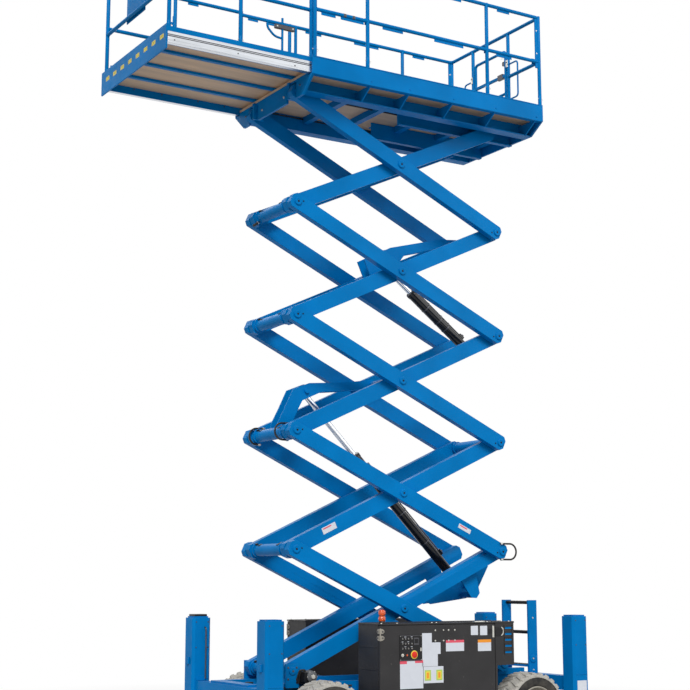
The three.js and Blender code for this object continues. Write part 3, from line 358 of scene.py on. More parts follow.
@dataclass(frozen=True)
class Enamel(Finish):
    """Sprayed paint over steel: broad cloudiness, orange peel, dust on top and thin scuffs."""

    dust: float = 0.14
    scuffs: float = 0.35
    gloss: float = 0.03
    mirror: float = 0.035

    def wire(self, w: Wiring) -> None:
        """Fills the node tree.

        Args:
            w: the material's node tree.
        """
        paint = w.mix(w.patch(2.3, 4, 0.35, 0.68), self.tone(0.88), self.tone(1.07))
        dust = w.times(w.band(w.upward(), 0.55, 1.0), w.patch(9, 6, 0.3, 0.8, self.dust, 0.6))
        paint = w.mix(dust, paint, DUST)
        scuff = w.times(w.patch(38, 8, 0.66, 0.72, rough=0.72), w.patch(1.9, 2, 0.5, 0.62, self.scuffs))
        w.colour(w.mix(scuff, paint, self.tone(1.7)))
        w.rough(w.noise(14, 5), 0.3, 0.75, self.roughness - 0.06, self.roughness + 0.12)
        w.bump(w.noise(210, 2), 0.0007, 0.35)
        w.shine(self.mirror)
        w.coat(self.gloss, 0.18)


@dataclass(frozen=True)
class Moulded(Finish):
    """Pebbled plastic or textured powder coat."""

    pebble: float = 420.0
    mirror: float = 0.3

    def wire(self, w: Wiring) -> None:
        """Fills the node tree.

        Args:
            w: the material's node tree.
        """
        tint = w.mix(w.patch(5, 5, 0.3, 0.7, rough=0.6), self.tone(0.8), self.tone(1.25))
        streak = w.times(w.patch(26, 7, 0.62, 0.74, rough=0.7), w.patch(2.2, 2, 0.45, 0.6, 0.3))
        w.colour(w.mix(streak, tint, WORN))
        w.rough(w.noise(20, 4), 0.3, 0.7, self.roughness - 0.05, self.roughness + 0.12)
        w.bump(w.cells(self.pebble), 0.0005, 0.5)
        w.shine(self.mirror)


@dataclass(frozen=True)
class Metal(Finish):
    """Bare or plated metal with grain along one axis and fine scratches."""

    grain: float = 60.0
    stain: float = 0.25

    def wire(self, w: Wiring) -> None:
        """Fills the node tree.

        Args:
            w: the material's node tree.
        """
        w.shader.inputs["Metallic"].default_value = 1.0
        streaks = w.noise(self.grain, 6, 0.65)
        tint = w.mix(w.band(streaks, 0.3, 0.7), self.tone(0.82), self.tone(1.1))
        w.colour(w.mix(w.patch(7, 6, 0.55, 0.8, self.stain, 0.65), tint, STAIN))
        w.rough(streaks, 0.25, 0.75, max(0.04, self.roughness - 0.1), self.roughness + 0.12)
        w.bump(streaks, 0.0003, 0.35)


@dataclass(frozen=True)
class Rubber(Finish):
    """Tyre, hose or grip rubber, greyed and dusty."""

    dirt: Point = srgb(150, 143, 130)
    dirt_share: float = 0.3

    def wire(self, w: Wiring) -> None:
        """Fills the node tree.

        Args:
            w: the material's node tree.
        """
        tint = w.mix(w.patch(55, 3, 0.3, 0.7), self.tone(0.85), self.tone(1.12))
        w.colour(w.mix(w.patch(11, 7, 0.38, 0.72, self.dirt_share, 0.65), tint, self.dirt))
        w.shader.inputs["Roughness"].default_value = self.roughness
        w.bump(w.noise(160, 5, 0.6), 0.0012, 0.5)
        w.shine(0.25)


@dataclass(frozen=True)
class Board(Finish):
    """Faced plywood deck board: long grain and patches of a darker film."""

    def wire(self, w: Wiring) -> None:
        """Fills the node tree.

        Args:
            w: the material's node tree.
        """
        grain = w.noise(9, 9, 0.62)
        tint = w.mix(w.band(grain, 0.3, 0.72), self.tone(0.78), self.tone(1.18))
        w.colour(w.mix(w.patch(3.1, 5, 0.42, 0.66, 0.45, 0.6), tint, self.tone(0.62)))
        w.rough(grain, 0.3, 0.7, self.roughness - 0.08, self.roughness + 0.1)
        w.bump(grain, 0.0009, 0.5)


@dataclass(frozen=True)
class Lens(Finish):
    """A tinted lens with ribs moulded in it."""

    def wire(self, w: Wiring) -> None:
        """Fills the node tree.

        Args:
            w: the material's node tree.
        """
        w.colour(w.mix(w.patch(30, 3, 0.3, 0.7), self.tone(0.85), self.tone(1.1)))
        w.shader.inputs["Roughness"].default_value = self.roughness
        w.shader.inputs["Transmission Weight"].default_value = 0.25
        w.bump(w.waves(70, "Z"), 0.0008, 0.6)
        w.coat(0.6, 0.05)


@dataclass(frozen=True)
class Plate(Finish):
    """A blank plate or tape, a little yellowed, with a fine woven or dotted face."""

    weave: float = 300.0

    def wire(self, w: Wiring) -> None:
        """Fills the node tree.

        Args:
            w: the material's node tree.
        """
        w.colour(w.mix(w.patch(13, 5, 0.4, 0.75, 0.3, 0.6), self.colour, self.tone(0.8)))
        w.rough(w.noise(40, 3), 0.3, 0.7, self.roughness - 0.05, self.roughness + 0.1)
        w.bump(w.cells(self.weave), 0.0003, 0.4)


DUST, WORN, STAIN = srgb(176, 168, 152), srgb(128, 124, 118), srgb(112, 100, 88)
BLUE = Enamel("lift_blue", srgb(0, 120, 191), 0.36)
DARK = Enamel("axle_black_paint", srgb(30, 31, 34), 0.42, dust=0.3, scuffs=0.25, gloss=0.15)
GLOSS_BLACK = Enamel("barrel_black_paint", srgb(22, 22, 24), 0.22, dust=0.08, scuffs=0.2, gloss=0.7)
CREAM = Enamel("wheel_grey_paint", srgb(168, 163, 152), 0.45, dust=0.3, gloss=0.1)
COVER = Moulded("cover_charcoal", srgb(42, 41, 42), 0.46)
PANEL = Moulded("panel_black", srgb(20, 20, 22), 0.3, pebble=700)
CHROME = Metal("rod_chrome_plate", (0.78, 0.8, 0.82), 0.14, (1, 1, 1), grain=22, stain=0.06)
STEEL = Metal("leg_ground_steel", (0.52, 0.53, 0.55), 0.32, (1, 1, 0.08), grain=70)
ZINC = Metal("zinc_plated", (0.62, 0.61, 0.56), 0.34, grain=45, stain=0.35)
DARK_ZINC = Metal("blackened_hardware", (0.1, 0.1, 0.11), 0.38, grain=45, stain=0.2)
RAIL_METAL = Metal("rail_extrusion", (0.66, 0.69, 0.73), 0.3, (0.04, 1, 1), grain=55, stain=0.12)
IRON = Moulded("engine_cast_iron", srgb(96, 98, 100), 0.55, pebble=240)
TREAD = Rubber("tread_rubber_pale", srgb(176, 173, 166), 0.88, dirt=srgb(206, 202, 192), dirt_share=0.5)
WALL = Rubber("sidewall_rubber", srgb(34, 34, 35), 0.75, dirt_share=0.22)
HOSE = Rubber("hose_rubber", srgb(22, 22, 23), 0.5, dirt_share=0.1)
GRIP = Rubber("grip_rubber", srgb(36, 36, 38), 0.8, dirt_share=0.25)
DECK = Board("deck_board_film", srgb(206, 178, 150), 0.62, (0.12, 1, 1))
AMBER = Lens("beacon_lens", srgb(250, 96, 20), 0.16)
RED = Moulded("stop_button_red", srgb(206, 44, 28), 0.32, pebble=500)
YELLOW = Plate("reflective_tape", srgb(236, 214, 74), 0.4, weave=420)
WHITE = Plate("blank_plate", srgb(214, 218, 226), 0.42)
PINK = Plate("plate_red_band", srgb(226, 84, 104), 0.42)
ORANGE = Plate("plate_orange_band", srgb(240, 150, 40), 0.42)
GREEN = Plate("plate_green_frame", srgb(172, 204, 92), 0.42)


# ---- the bench ----
def bent(points: Iterable[Point], radius: float) -> list[Vector]:
    """A path with its corners rounded.

    Args:
        points: the corners.
        radius: how far from each corner the bend starts, at most.

    Returns:
        The path's points.
    """
    corners = [Vector(point) for point in points]
    path = [corners[0]]
    for before, corner, after in zip(corners, corners[1:], corners[2:]):
        reach = min(radius, (before - corner).length / 2.1, (after - corner).length / 2.1)
        start = corner + (before - corner).normalized() * reach
        end = corner + (after - corner).normalized() * reach
        for step in range(BEND_STEPS + 1):
            t = step / BEND_STEPS
            path.append(start * (1 - t) ** 2 + corner * 2 * t * (1 - t) + end * t * t)
    path.append(corners[-1])
    return path


def poly_curve(name: str, path: Sequence[Point], radius: float, resolution: int) -> bpy.types.Object:
    """A round bar along a path, as a curve that is on no collection yet.

    Args:
        name: the curve's name.
        path: its points, in the frame's axes.
        radius: the bar's radius, in millimetres.
        resolution: how round it is.

    Returns:
        The curve's object.
    """
    curve = bpy.data.curves.new(name, "CURVE")
    curve.dimensions = "3D"
    spline = curve.splines.new("POLY")
    spline.points.add(len(path) - 1)
    for knot, point in zip(spline.points, path):
        knot.co = (*point, 1)
    curve.bevel_depth = radius * MM
    curve.bevel_resolution = resolution
    curve.use_fill_caps = True
    return bpy.data.objects.new(name, curve)


class Piece:
    """One piece on the bench: a mesh that grows by operators, and its finishes in order."""

    def __init__(self, name: str, *finishes: Finish, frame: Matrix = Matrix(), side: int = 1) -> None:
        """Starts an empty piece.

        Args:
            name: the piece's name.
            finishes: what its coats are made of; a shape's coat is a number in this order.
            frame: where the shapes' own axes lie on the machine, in millimetres.
            side: the sign that every Y is given.
        """
        self.name = name
        self.finishes = finishes
        self.mesh = bmesh.new()
        self.frame = PLACE @ frame
        self.side = side

    def _at(self, point: Point) -> Vector:
        """A point, or a direction, taken to the side that is being built."""
        x, y, z = point
        return Vector((x, self.side * y, z))

    def both(self) -> Iterator[int]:
        """Takes the shapes that follow to each side in turn.

        Yields:
            Each side's sign in turn.
        """
        for self.side in BOTH:
            yield self.side
        self.side = 1

    def _dress(self, verts: Iterable[bmesh.types.BMVert], coat: int, edge: float, steps: int,
               smooth: bool) -> None:
        """Gives new faces their coat and rounds their sharp edges.

        Args:
            verts: the new faces' points.
            coat: the finish's number.
            edge: the radius of the edges, or 0 to leave them.
            steps: how many facets each edge has.
            smooth: whether the faces are shaded as one.
        """
        verts = list(verts)
        for face in {face for vert in verts for face in vert.link_faces}:
            face.material_index = coat
            face.smooth = smooth
        if edge:
            edges = {link for vert in verts for link in vert.link_edges}
            sharp = [link for link in edges if link.calc_face_angle(0.0) > SHARP]
            bmesh.ops.bevel(self.mesh, geom=sharp, offset=edge * MM, offset_type="OFFSET", segments=steps,
                            profile=0.5, affect="EDGES", clamp_overlap=True, material=-1)

    def block(self, low: Point, high: Point, edge: float = 1.5, coat: int = 0, steps: int = 2) -> Piece:
        """Adds a block with rounded edges.

        Args:
            low: one corner.
            high: the corner across from it.
            edge: the radius of its edges.
            coat: its finish's number.
            steps: how many facets each edge has.

        Returns:
            The piece.
        """
        a, b = self._at(low), self._at(high)
        size = Vector(abs(part) for part in b - a)
        matrix = self.frame @ Matrix.Translation((a + b) / 2) @ Matrix.Diagonal((*size, 1))
        made = bmesh.ops.create_cube(self.mesh, size=1.0, matrix=matrix)
        self._dress(made["verts"], coat, edge, steps, False)
        return self

    def rod(self, start: Point, end: Point, radius: float, end_radius: float | None = None, sides: int = 24,
            edge: float = 0.0, coat: int = 0) -> Piece:
        """Adds a round bar or a cone between two points, with rounded ends where edge is given.

        Args:
            start: the middle of one end.
            end: the middle of the other.
            radius: the radius at the start.
            end_radius: the radius at the end, if it differs.
            sides: how many facets it has round.
            edge: the radius of its ends' edges.
            coat: its finish's number.

        Returns:
            The piece.
        """
        a, b = self._at(start), self._at(end)
        spin = (b - a).to_track_quat("Z", "Y").to_matrix().to_4x4()
        matrix = self.frame @ Matrix.Translation((a + b) / 2) @ spin
        made = bmesh.ops.create_cone(self.mesh, cap_ends=True, cap_tris=False, segments=sides, radius1=radius,
                                     radius2=radius if end_radius is None else end_radius,
                                     depth=(b - a).length, matrix=matrix)
        self._dress(made["verts"], coat, edge, 2, sides > 8)
        return self

    def stud(self, foot: Point, reach: Point, *shape: float) -> Piece:
        """Adds a round bar from a foot, by its reach; its shape is given as rod's is."""
        return self.rod(foot, Vector(foot) + Vector(reach), *shape)

    def bolt(self, point: Point, axis: Point, size: float = 10, coat: int = 0) -> Piece:
        """Adds a hexagon head on a washer, seated at a point and standing along an axis.

        Args:
            point: its seat.
            axis: the way that it stands.
            size: half its head's width.
            coat: its finish's number.

        Returns:
            The piece.
        """
        seat, along = Vector(point), Vector(axis).normalized()
        self.rod(seat - along * 1, seat + along * size * 0.25, size * 1.15, sides=16, edge=size * 0.08, coat=coat)
        return self.rod(seat, seat + along * size * 0.85, size, size * 0.96, sides=6, edge=size * 0.12, coat=coat)

    def plate(self, outline: Sequence[Point], low: float, high: float, axis: str = "Y", edge: float = 1.5,
              coat: int = 0) -> Piece:
        """Adds a flat plate cut to an outline.

        Args:
            outline: its corners, each as the two coordinates across the axis.
            low: one face's place along the axis.
            high: the other face's.
            axis: the axis that its thickness lies along.
            edge: the radius of its edges.
            coat: its finish's number.

        Returns:
            The piece.
        """
        slot = "XYZ".index(axis)
        corners = []
        for pair in outline:
            point = (*pair[:slot], low, *pair[slot:])
            corners.append(self.mesh.verts.new(self.frame @ self._at(point)))
        face = self.mesh.faces.new(corners)
        grown = bmesh.ops.extrude_face_region(self.mesh, geom=[face])["geom"]
        moved = [part for part in grown if isinstance(part, bmesh.types.BMVert)]
        step = [0.0, 0.0, 0.0]
        step[slot] = high - low
        bmesh.ops.translate(self.mesh, verts=moved, vec=self.frame.to_3x3() @ self._at(step))
        verts = corners + moved
        bmesh.ops.recalc_face_normals(self.mesh, faces=list({f for v in verts for f in v.link_faces}))
        self._dress(verts, coat, edge, 2, False)
        return self

    def turned(self, profile: Sequence[Point], origin: Point, axis: Point, sides: int = 32, coat: int = 0,
               closed: bool = False) -> Piece:
        """Adds a turned shape.

        Args:
            profile: (radius, distance along the axis) pairs.
            origin: where the distance is 0.
            axis: the direction of the axis.
            sides: how many facets it has round the axis.
            coat: its finish's number.
            closed: whether the profile joins its own start, as a ring's does.

        Returns:
            The piece.
        """
        spin = self._at(axis).to_track_quat("Z", "Y").to_matrix().to_4x4()
        local = self.frame @ Matrix.Translation(self._at(origin)) @ spin
        verts = [self.mesh.verts.new(local @ Vector((radius, 0, out))) for radius, out in profile]
        pairs = list(zip(verts, verts[1:])) + ([(verts[-1], verts[0])] if closed else [])
        edges = [self.mesh.edges.new(pair) for pair in pairs]
        before = set(self.mesh.verts) - set(verts)
        bmesh.ops.spin(self.mesh, geom=verts + edges, cent=local.translation,
                       axis=(local.to_3x3() @ Vector(UP)).normalized(), angle=TURN, steps=sides,
                       use_merge=True, use_duplicate=False)
        made = [vert for vert in self.mesh.verts if vert not in before]
        bmesh.ops.remove_doubles(self.mesh, verts=made, dist=1e-6)
        made = [vert for vert in self.mesh.verts if vert not in before]
        bmesh.ops.recalc_face_normals(self.mesh, faces=list({f for v in made for f in v.link_faces}))
        self._dress(made, coat, 0.0, 1, True)
        return self

    def ring(self, centre: Point, axis: Point, radius: float, wire: float, coat: int = 0, sides: int = 32) -> Piece:
        """Adds a round ring of round wire."""
        profile = [(radius + across, up) for across, up in spread(8, wire)]
        return self.turned(profile, centre, axis, sides, coat, closed=True)

    def pipe(self, points: Iterable[Point], radius: float, bend: float = 0.0, sides: int = 12, coat: int = 0) -> Piece:
        """Adds a round bar bent along a path.

        Args:
            points: the corners of its path.
            radius: the bar's radius.
            bend: how far from each corner a bend starts, or 0 for sharp corners.
            sides: how many facets it has round, about.
            coat: its finish's number.

        Returns:
            The piece.
        """
        corners = [self._at(point) for point in points]
        path = [self.frame @ point for point in (bent(corners, bend) if bend else corners)]
        holder = poly_curve("path", path, radius, max(1, sides // 4))
        mesh = bpy.data.meshes.new_from_object(holder)
        known = set(self.mesh.faces)
        self.mesh.from_mesh(mesh)
        for face in set(self.mesh.faces) - known:
            face.material_index = coat
            face.smooth = True
        bpy.data.curves.remove(holder.data)
        bpy.data.meshes.remove(mesh)
        return self

    def ship(self, body: str, slot: str = "", replaces: Sequence[str] = ()) -> bpy.types.Object:
        """Finishes the piece and puts it on its body.

        Args:
            body: the body that it rides on.
            slot: not used; callers give the record's material slot of the main finish.
            replaces: the nodes that it stands for.

        Returns:
            The finished object.
        """
        for edge in self.mesh.edges:
            edge.smooth = edge.calc_face_angle(0.0) < SHARP
        data = bpy.data.meshes.new(self.name)
        self.mesh.to_mesh(data)
        faces = len(self.mesh.faces)
        self.mesh.free()
        for finish in self.finishes:
            data.materials.append(finish.material())
        made = bpy.data.objects.new(self.name, data)
        bpy.context.scene.collection.objects.link(made)
        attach(made, body)
        if replaces:
            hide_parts(*replaces)
        LOG.info("%s rides on %s, %d faces", self.name, body, faces)
        return made


def paint_node(name: str, finish: Finish, edge: float = 2.5) -> None:
    """Gives a carried-over node its finish and rounded edges.

    Args:
        name: the node's name.
        finish: its finish.
        edge: the radius of its edges, in millimetres, or 0 to leave them.
    """
    node = frame["nodes"][name]
    node.data.materials.clear()
    node.data.materials.append(finish.material())
    node.data.polygons.foreach_set("use_smooth", [True] * len(node.data.polygons))
    weld = node.modifiers.new("weld", "WELD")
    weld.merge_threshold = WELD_GAP
    flat = node.modifiers.new("flatten", "DECIMATE")
    flat.decimate_type = "DISSOLVE"
    flat.angle_limit = FLAT
    if edge:
        bevel = node.modifiers.new("edges", "BEVEL")
        bevel.width = edge * MM
        bevel.segments = 2
        bevel.limit_method = "ANGLE"
        bevel.angle_limit = SHARP
    node.modifiers.new("shading", "WEIGHTED_NORMAL")
    LOG.info("%s wears %s", name, finish.name)


def arm_frame(kind: Arm, level: int) -> Matrix:
    """An arm's own axes: X along it from its left-hand pin, Y across the machine, Z up from it.

    Args:
        kind: the sort of arm.
        level: the arm's level, from 1 at the chassis.

    Returns:
        The axes, as a matrix in millimetres.
    """
    height = BASE_Z + RISE * (level - 1 if kind is Arm.INNER else level)
    tilt = -TILT if kind is Arm.INNER else TILT
    return Matrix.Translation((FIXED_X, 0, height)) @ Matrix.Rotation(tilt, 4, "Y")


# ---- sub-assemblies ----
@dataclass
class ArmStack:
    """The crossed arms, with their pin caps, collars, hose clips and blank plates."""

    levels: int = 5
    pin_places: tuple[float, ...] = (0.0, ARM_LENGTH / 2, ARM_LENGTH)
    head_face: float = 466.0
    cap_radius: float = 36.5
    cap_height: float = 16.0
    inner_face: float = 302.0
    hose_radius: float = 8.5
    hose_rows: tuple[float, ...] = (-30.0, -52.0)
    clip_places: tuple[float, ...] = (260.0, 760.0, 1180.0, 1660.0, 2200.0)
    loop_hose: float = 9.0
    loop_turn: float = 78.0

    def build(self) -> None:
        """Dresses every arm from the chassis up."""
        for level in range(1, self.levels + 1):
            paint_node(f"inner_arm_{level}", BLUE, 4)
            for side in Side:
                paint_node(f"outer_arm_{level}_{side.word}", BLUE, 4)
                self._pin_caps(level, side)
            self._collars(level)
            self._hose_run(level)
        self._plates()
        self._loops()

    def _pin_caps(self, level: int, side: Side) -> None:
        """Caps over an outer arm's three pins, each with a dark bolt and a bead.

        Args:
            level: the arm's level.
            side: the side of the machine.
        """
        piece = Piece(f"pin_caps_{level}_{side.word}", BLUE, DARK, frame=arm_frame(Arm.OUTER, level),
                      side=side.value)
        face, r, h = self.head_face, self.cap_radius, self.cap_height
        cap = [(0, 0), (r, 0), (r, h - 4), (r - 4, h), (20, h), (17, h - 5), (0, h - 5)]
        for x in self.pin_places:
            if level == 1 and x == ARM_LENGTH:
                roller = [(0, 0), (45, 0), (45, 8), (41, 13), (24, 13), (20, 9), (0, 9)]
                piece.turned(roller, (x, face, 0), ACROSS)
                piece.stud((x, face + 8, 0), (0, 7, 0), 15, 14, 16, 2, 1)
                continue
            piece.turned(cap, (x, face, 0), ACROSS)
            piece.stud((x, face + 9, 0), (0, 9, 0), *HEX_HEAD)
            piece.ring((x, face, 0), ACROSS, r + 1, 3)
        for x, up in ((52, 34), (ARM_LENGTH - 52, -34)):
            piece.stud((x, face - 1, up), (0, 6, 0), 8, 7, 6, 1, 1)
        piece.ship(f"outer_{level}", "frame_blue")

    def _collars(self, level: int) -> None:
        """Weld beads, stop collars, lugs and pads on the cross tubes of an inner arm.

        Args:
            level: the arm's level.
        """
        piece = Piece(f"tube_collars_{level}", BLUE, DARK_ZINC, DARK, frame=arm_frame(Arm.INNER, level))
        face = self.inner_face
        for x in (0.0, ARM_LENGTH) if level in (2, 4) else (0.0,):
            for s in BOTH:
                piece.ring((x, s * (face - 1), 0), ACROSS, 58, 5)
                piece.turned([(57, 0), (67, 0), (67, 14), (57, 14)], (x, s * (face - 44), 0), ACROSS, closed=True)
                piece.stud((x, s * (face - 60), 50), (0, 0, 12), 6, 5, 8, 1, 1)
        ear = [(-52, 26), (-50, 52), (-34, 68), (-6, 76), (22, 72), (40, 58), (52, 26)]
        for _ in piece.both():
            piece.plate(ear, face - 36, face - 48)
            piece.stud((-4, face - 76, 60), (0, 40, 0), 13, 13, 20, 3, 2)
            piece.block((-24, face - 140, 46), (18, face - 100, 60), 4, 2)
        piece.ship(f"inner_{level}", "frame_blue")

    def _hose_run(self, level: int) -> None:
        """Two hoses clipped along the inside of an inner arm.

        Args:
            level: the arm's level.
        """
        piece = Piece(f"hose_run_{level}", HOSE, ZINC, BLUE, frame=arm_frame(Arm.INNER, level))
        y = -self.inner_face + self.hose_radius + 3
        front = y + self.hose_radius
        end = 1210 if level == self.levels else 2420
        for up in self.hose_rows:
            piece.pipe([(150, y + 2, up), (400, y, up), (end - 120, y, up), (end, y + 2, up)], self.hose_radius)
            for x in (150, end):
                piece.stud((x - 24, y + 2, up), (48, 0, 0), 11, 11, 6, 1, 1)
        low, high = self.hose_rows[1] - 14, self.hose_rows[0] + 14
        for x in (place for place in self.clip_places if place < end):
            piece.block((x - 14, -self.inner_face + 1, low), (x + 14, -self.inner_face + 4, high), 1, 2)
            piece.block((x - 9, front - 1, low), (x + 9, front + 3, high), 1, 1)
            piece.bolt((x, front + 3, (low + high) / 2), ACROSS, 6, 1)
        piece.ship(f"inner_{level}")

    def _plates(self) -> None:
        """The two small blank plates on the lower arms, and the sensor at the top."""
        for kind, face, x0, x1, z0, z1 in ((Arm.INNER, -378.0, 372, 532, -20, 42),
                                           (Arm.OUTER, -466.0, 2022, 2178, -18, 26)):
            piece = Piece(f"arm_plate_{kind.value}", WHITE, PINK, frame=arm_frame(kind, 2))
            piece.block((x0, face + 1, z0), (x1, face - 2, z1), 0.6)
            piece.block((x0 + 14, face - 1, z1 - 20), (x1 - 50, face - 2.8, z1 - 8), 0.3, 1)
            piece.ship(f"{kind.value}_2")
        stub = Piece("limit_sensor", HOSE, ZINC, frame=arm_frame(Arm.INNER, self.levels))
        stub.rod((-50, 262, -34), (-128, 262, -50), 13, 13, 20, 4)
        stub.rod((-60, 262, -36), (-72, 262, -38.5), 16, 16, 6, 1, 1)
        stub.ship(f"inner_{self.levels}")

    def _loops(self) -> None:
        """The three free hose loops that swing round the arm ends."""
        for name, body, side, x, level, lead, tail, y in (
            ("far", "inner_3", -1, -1212.0, 2, 90.0, 42.0, 281.0),
            ("near", "inner_3", -1, -1238.0, 2, 116.0, 66.0, -281.0),
            ("right", "outer_2", 1, 1272.0, 1, 118.0, 118.0, -478.0),
        ):
            path = self._loop_path(side, (x, BASE_Z + level * RISE), lead, tail, y)
            loop = poly_curve(f"hose_loop_{name}", [PLACE @ point for point in path], self.loop_hose, 4)
            loop.data.materials.append(HOSE.material())
            bpy.context.scene.collection.objects.link(loop)
            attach(loop, body)
            fittings = Piece(f"hose_loop_{name}_fittings", ZINC)
            for end, inward in ((path[0], path[1]), (path[-1], path[-2])):
                fittings.stud(end, (inward - end).normalized() * 26, *([self.loop_hose * 1.35] * 2), 6, 1)
            ends = fittings.ship(body)

    def _loop_path(self, side: int, middle: Point, lead: float, tail: float, y: float) -> list[Vector]:
        """A loop's line: a lead out, half a turn round an arm's end, and a tail back.

        Args:
            side: -1 round a left-hand end, 1 round a right-hand end.
            middle: the half turn's middle, along and up.
            lead: how long the upper straight part is.
            tail: how long the lower one is.
            y: its place across the machine.

        Returns:
            The line's points.
        """
        (x, z), r = middle, self.loop_turn
        angles = [math.pi * step / 24 for step in range(25)]
        turn = [(x + side * r * math.sin(angle), y, z + r * math.cos(angle)) for angle in angles]
        return [Vector(point) for point in ((x - side * lead, y, z + r), *turn, (x - side * tail, y, z - r))]


@dataclass
class LiftCylinder:
    """One lift cylinder's gland, ports and line."""

    name: str
    barrel: float
    line_start: float
    line_end: float

    def build(self) -> None:
        """Dresses the barrel and the rod."""
        joint, slide = JOINTS[f"{self.name}_barrel_turn"], JOINTS[f"{self.name}_rod_slide"]
        foot = PLACE.inverted() @ Vector(joint["pos_m"])
        lean = math.atan2(slide["axis"][2], slide["axis"][0])
        paint_node(f"{self.name}_cylinder_barrel", GLOSS_BLACK, 2)
        paint_node(f"{self.name}_cylinder_rod", CHROME, 2)
        piece = Piece(f"{self.name}_barrel_fittings", GLOSS_BLACK, DARK_ZINC,
                      frame=shift(*foot) @ Matrix.Rotation(-lean, 4, "Y"))
        end, start, stop = self.barrel, self.line_start, self.line_end
        piece.turned([(48, -46), (53, -44), (53, -8), (50, -3), (30.5, -3), (30.5, -12), (34, -16), (34, -40),
                      (48, -46)], (end, 0, 0), ALONG)
        for y, z in spread(6):
            piece.rod((end - 24, 51 * y, 51 * z), (end - 24, 54 * y, 54 * z), 5, sides=12, coat=1)
        piece.ring((70, 0, 0), ALONG, 49, 4)
        piece.block((start - 34, -20, -78), (start + 30, 20, -44), 4)
        piece.stud((start - 10, 0, -74), (0, 0, -18), 13, 13, 6, 1, 1)
        piece.block((stop - 20, -14, -72), (stop + 20, 14, -44), 4)
        piece.pipe([(start + 26, 0, -64), (stop - 18, 0, -64)], 6.5, coat=1)
        for x in (start + 200, (start + stop) / 2, stop - 120):
            piece.turned([(49, -7), (52, -7), (52, 7), (49, 7)], (x, 0, 0), ALONG, coat=1, closed=True)
            piece.block((x - 7, -9, -72), (x + 7, 9, -50), 1, 1)
        piece.ship(f"{self.name}_barrel", "barrel_black")


@dataclass
class Wheel:
    """A lugged tyre on a dished rim with its hub and nuts."""

    row: str
    side: Side
    x: float
    radius: float = 340.0
    width: float = 300.0
    inner: float = 575.0
    lugs: int = 26
    lean: float = 24.0
    shoulder: float = 0.055
    nuts: int = 9

    def build(self) -> None:
        """Builds the tyre and the rim in place of the plain ones."""
        name = f"{self.row}_{self.side.word}"
        self._tyre(name)
        self._rim(name)

    def _tyre(self, name: str) -> None:
        """A carcass with bulged walls, and two rows of chevron lugs.

        Args:
            name: the wheel's row and side.
        """
        r, w = self.radius, self.width
        origin = (0, self.inner, 0)
        piece = Piece(f"tyre_tread_{name}", TREAD, WALL, frame=shift(self.x, 0, r), side=self.side.value)
        wall = [(214, 14), (224, 4), (246, 1), (272, 4), (300, 14), (312, 24)]
        back = [(radius, w - out) for radius, out in reversed(wall)]
        piece.turned([*wall, *back, (214, w - 14), (214, 14)], origin, ACROSS, 64, 1)
        tread = [(296, 9), (312, 9), (321, 18), (325, 60)]
        back = [(radius, w - out) for radius, out in reversed(tread)]
        piece.turned([*tread, (326, w / 2), *back], origin, ACROSS, 64, 0)
        for out in (6, w - 6):
            for bead, wire in ((262, 3.5), (236, 3)):
                piece.ring((0, self.inner + out, 0), ACROSS, bead, wire, 1, 64)
        own, s = piece.frame, self.side.value
        spin = Vector((0, s, 0)).to_track_quat("Z", "Y").to_matrix().to_4x4()
        base = own @ shift(0, s * self.inner, 0) @ spin
        for step in range(self.lugs):
            for half in (0, 1):
                way, angle = 1 - 2 * half, TURN * (step + half / 2) / self.lugs
                piece.frame = (base @ Matrix.Rotation(angle, 4, "Z") @ shift(r - 15.5, 0, w * (0.5 - way * 0.23))
                               @ Matrix.Rotation(way * math.radians(self.lean), 4, "X"))
                piece.block((-14, -19, -68), (12.5, 19, 68), 4, 0, 1)
                piece.frame = base @ Matrix.Rotation(angle - way * self.shoulder, 4, "Z")
                low = w - 46 if half else 7
                piece.block((300, -17, low), (r - 8, 17, low + 39), 4, 0, 1)
        piece.ship(f"wheel_{name}", "tyre", [f"tyre_{name}"])

    def _rim(self, name: str) -> None:
        """A dished steel rim with a hub, nuts and a valve.

        Args:
            name: the wheel's row and side.
        """
        w, face = self.width, self.inner
        piece = Piece(f"wheel_rim_{name}", CREAM, DARK, ZINC, HOSE, frame=shift(self.x, 0, self.radius),
                      side=self.side.value)
        profile = [(0, 101), (150, 101), (196, 101), (200, 90), (200, 12), (212, 8), (213, 22), (204, 34),
                   (204, 60), (198, 90), (204, w - 60), (206, w - 34), (213, w - 22), (212, w - 8),
                   (206, w - 5), (199, w - 10), (196, w - 60), (188, 150), (172, 128), (150, 119), (118, 117),
                   (96, 126), (84, 128), (0, 128)]
        piece.turned(profile, (0, face, 0), ACROSS, 48)
        hub = [(0, 120), (78, 120), (78, 148), (72, 156), (52, 158), (48, 160), (0, 160)]
        piece.turned(hub, (0, face, 0), ACROSS, 32, 1)
        for x, z in spread(self.nuts, 104):
            piece.stud((x, face + 116, z), (0, 18, 0), 11, 10, 6, 1.2, 2)
            piece.stud((x, face + 130, z), (0, 12, 0), 5, 5, 10, 1, 2)
        for x, z in spread(6, 62):
            piece.bolt((x, face + 155, z), ACROSS, 7, 2)
        piece.pipe([(176, face + 128, 0), (168, face + 160, 0)], 4.5, coat=3)
        piece.ship(f"wheel_{name}", "wheel_grey", [f"rim_{name}"])


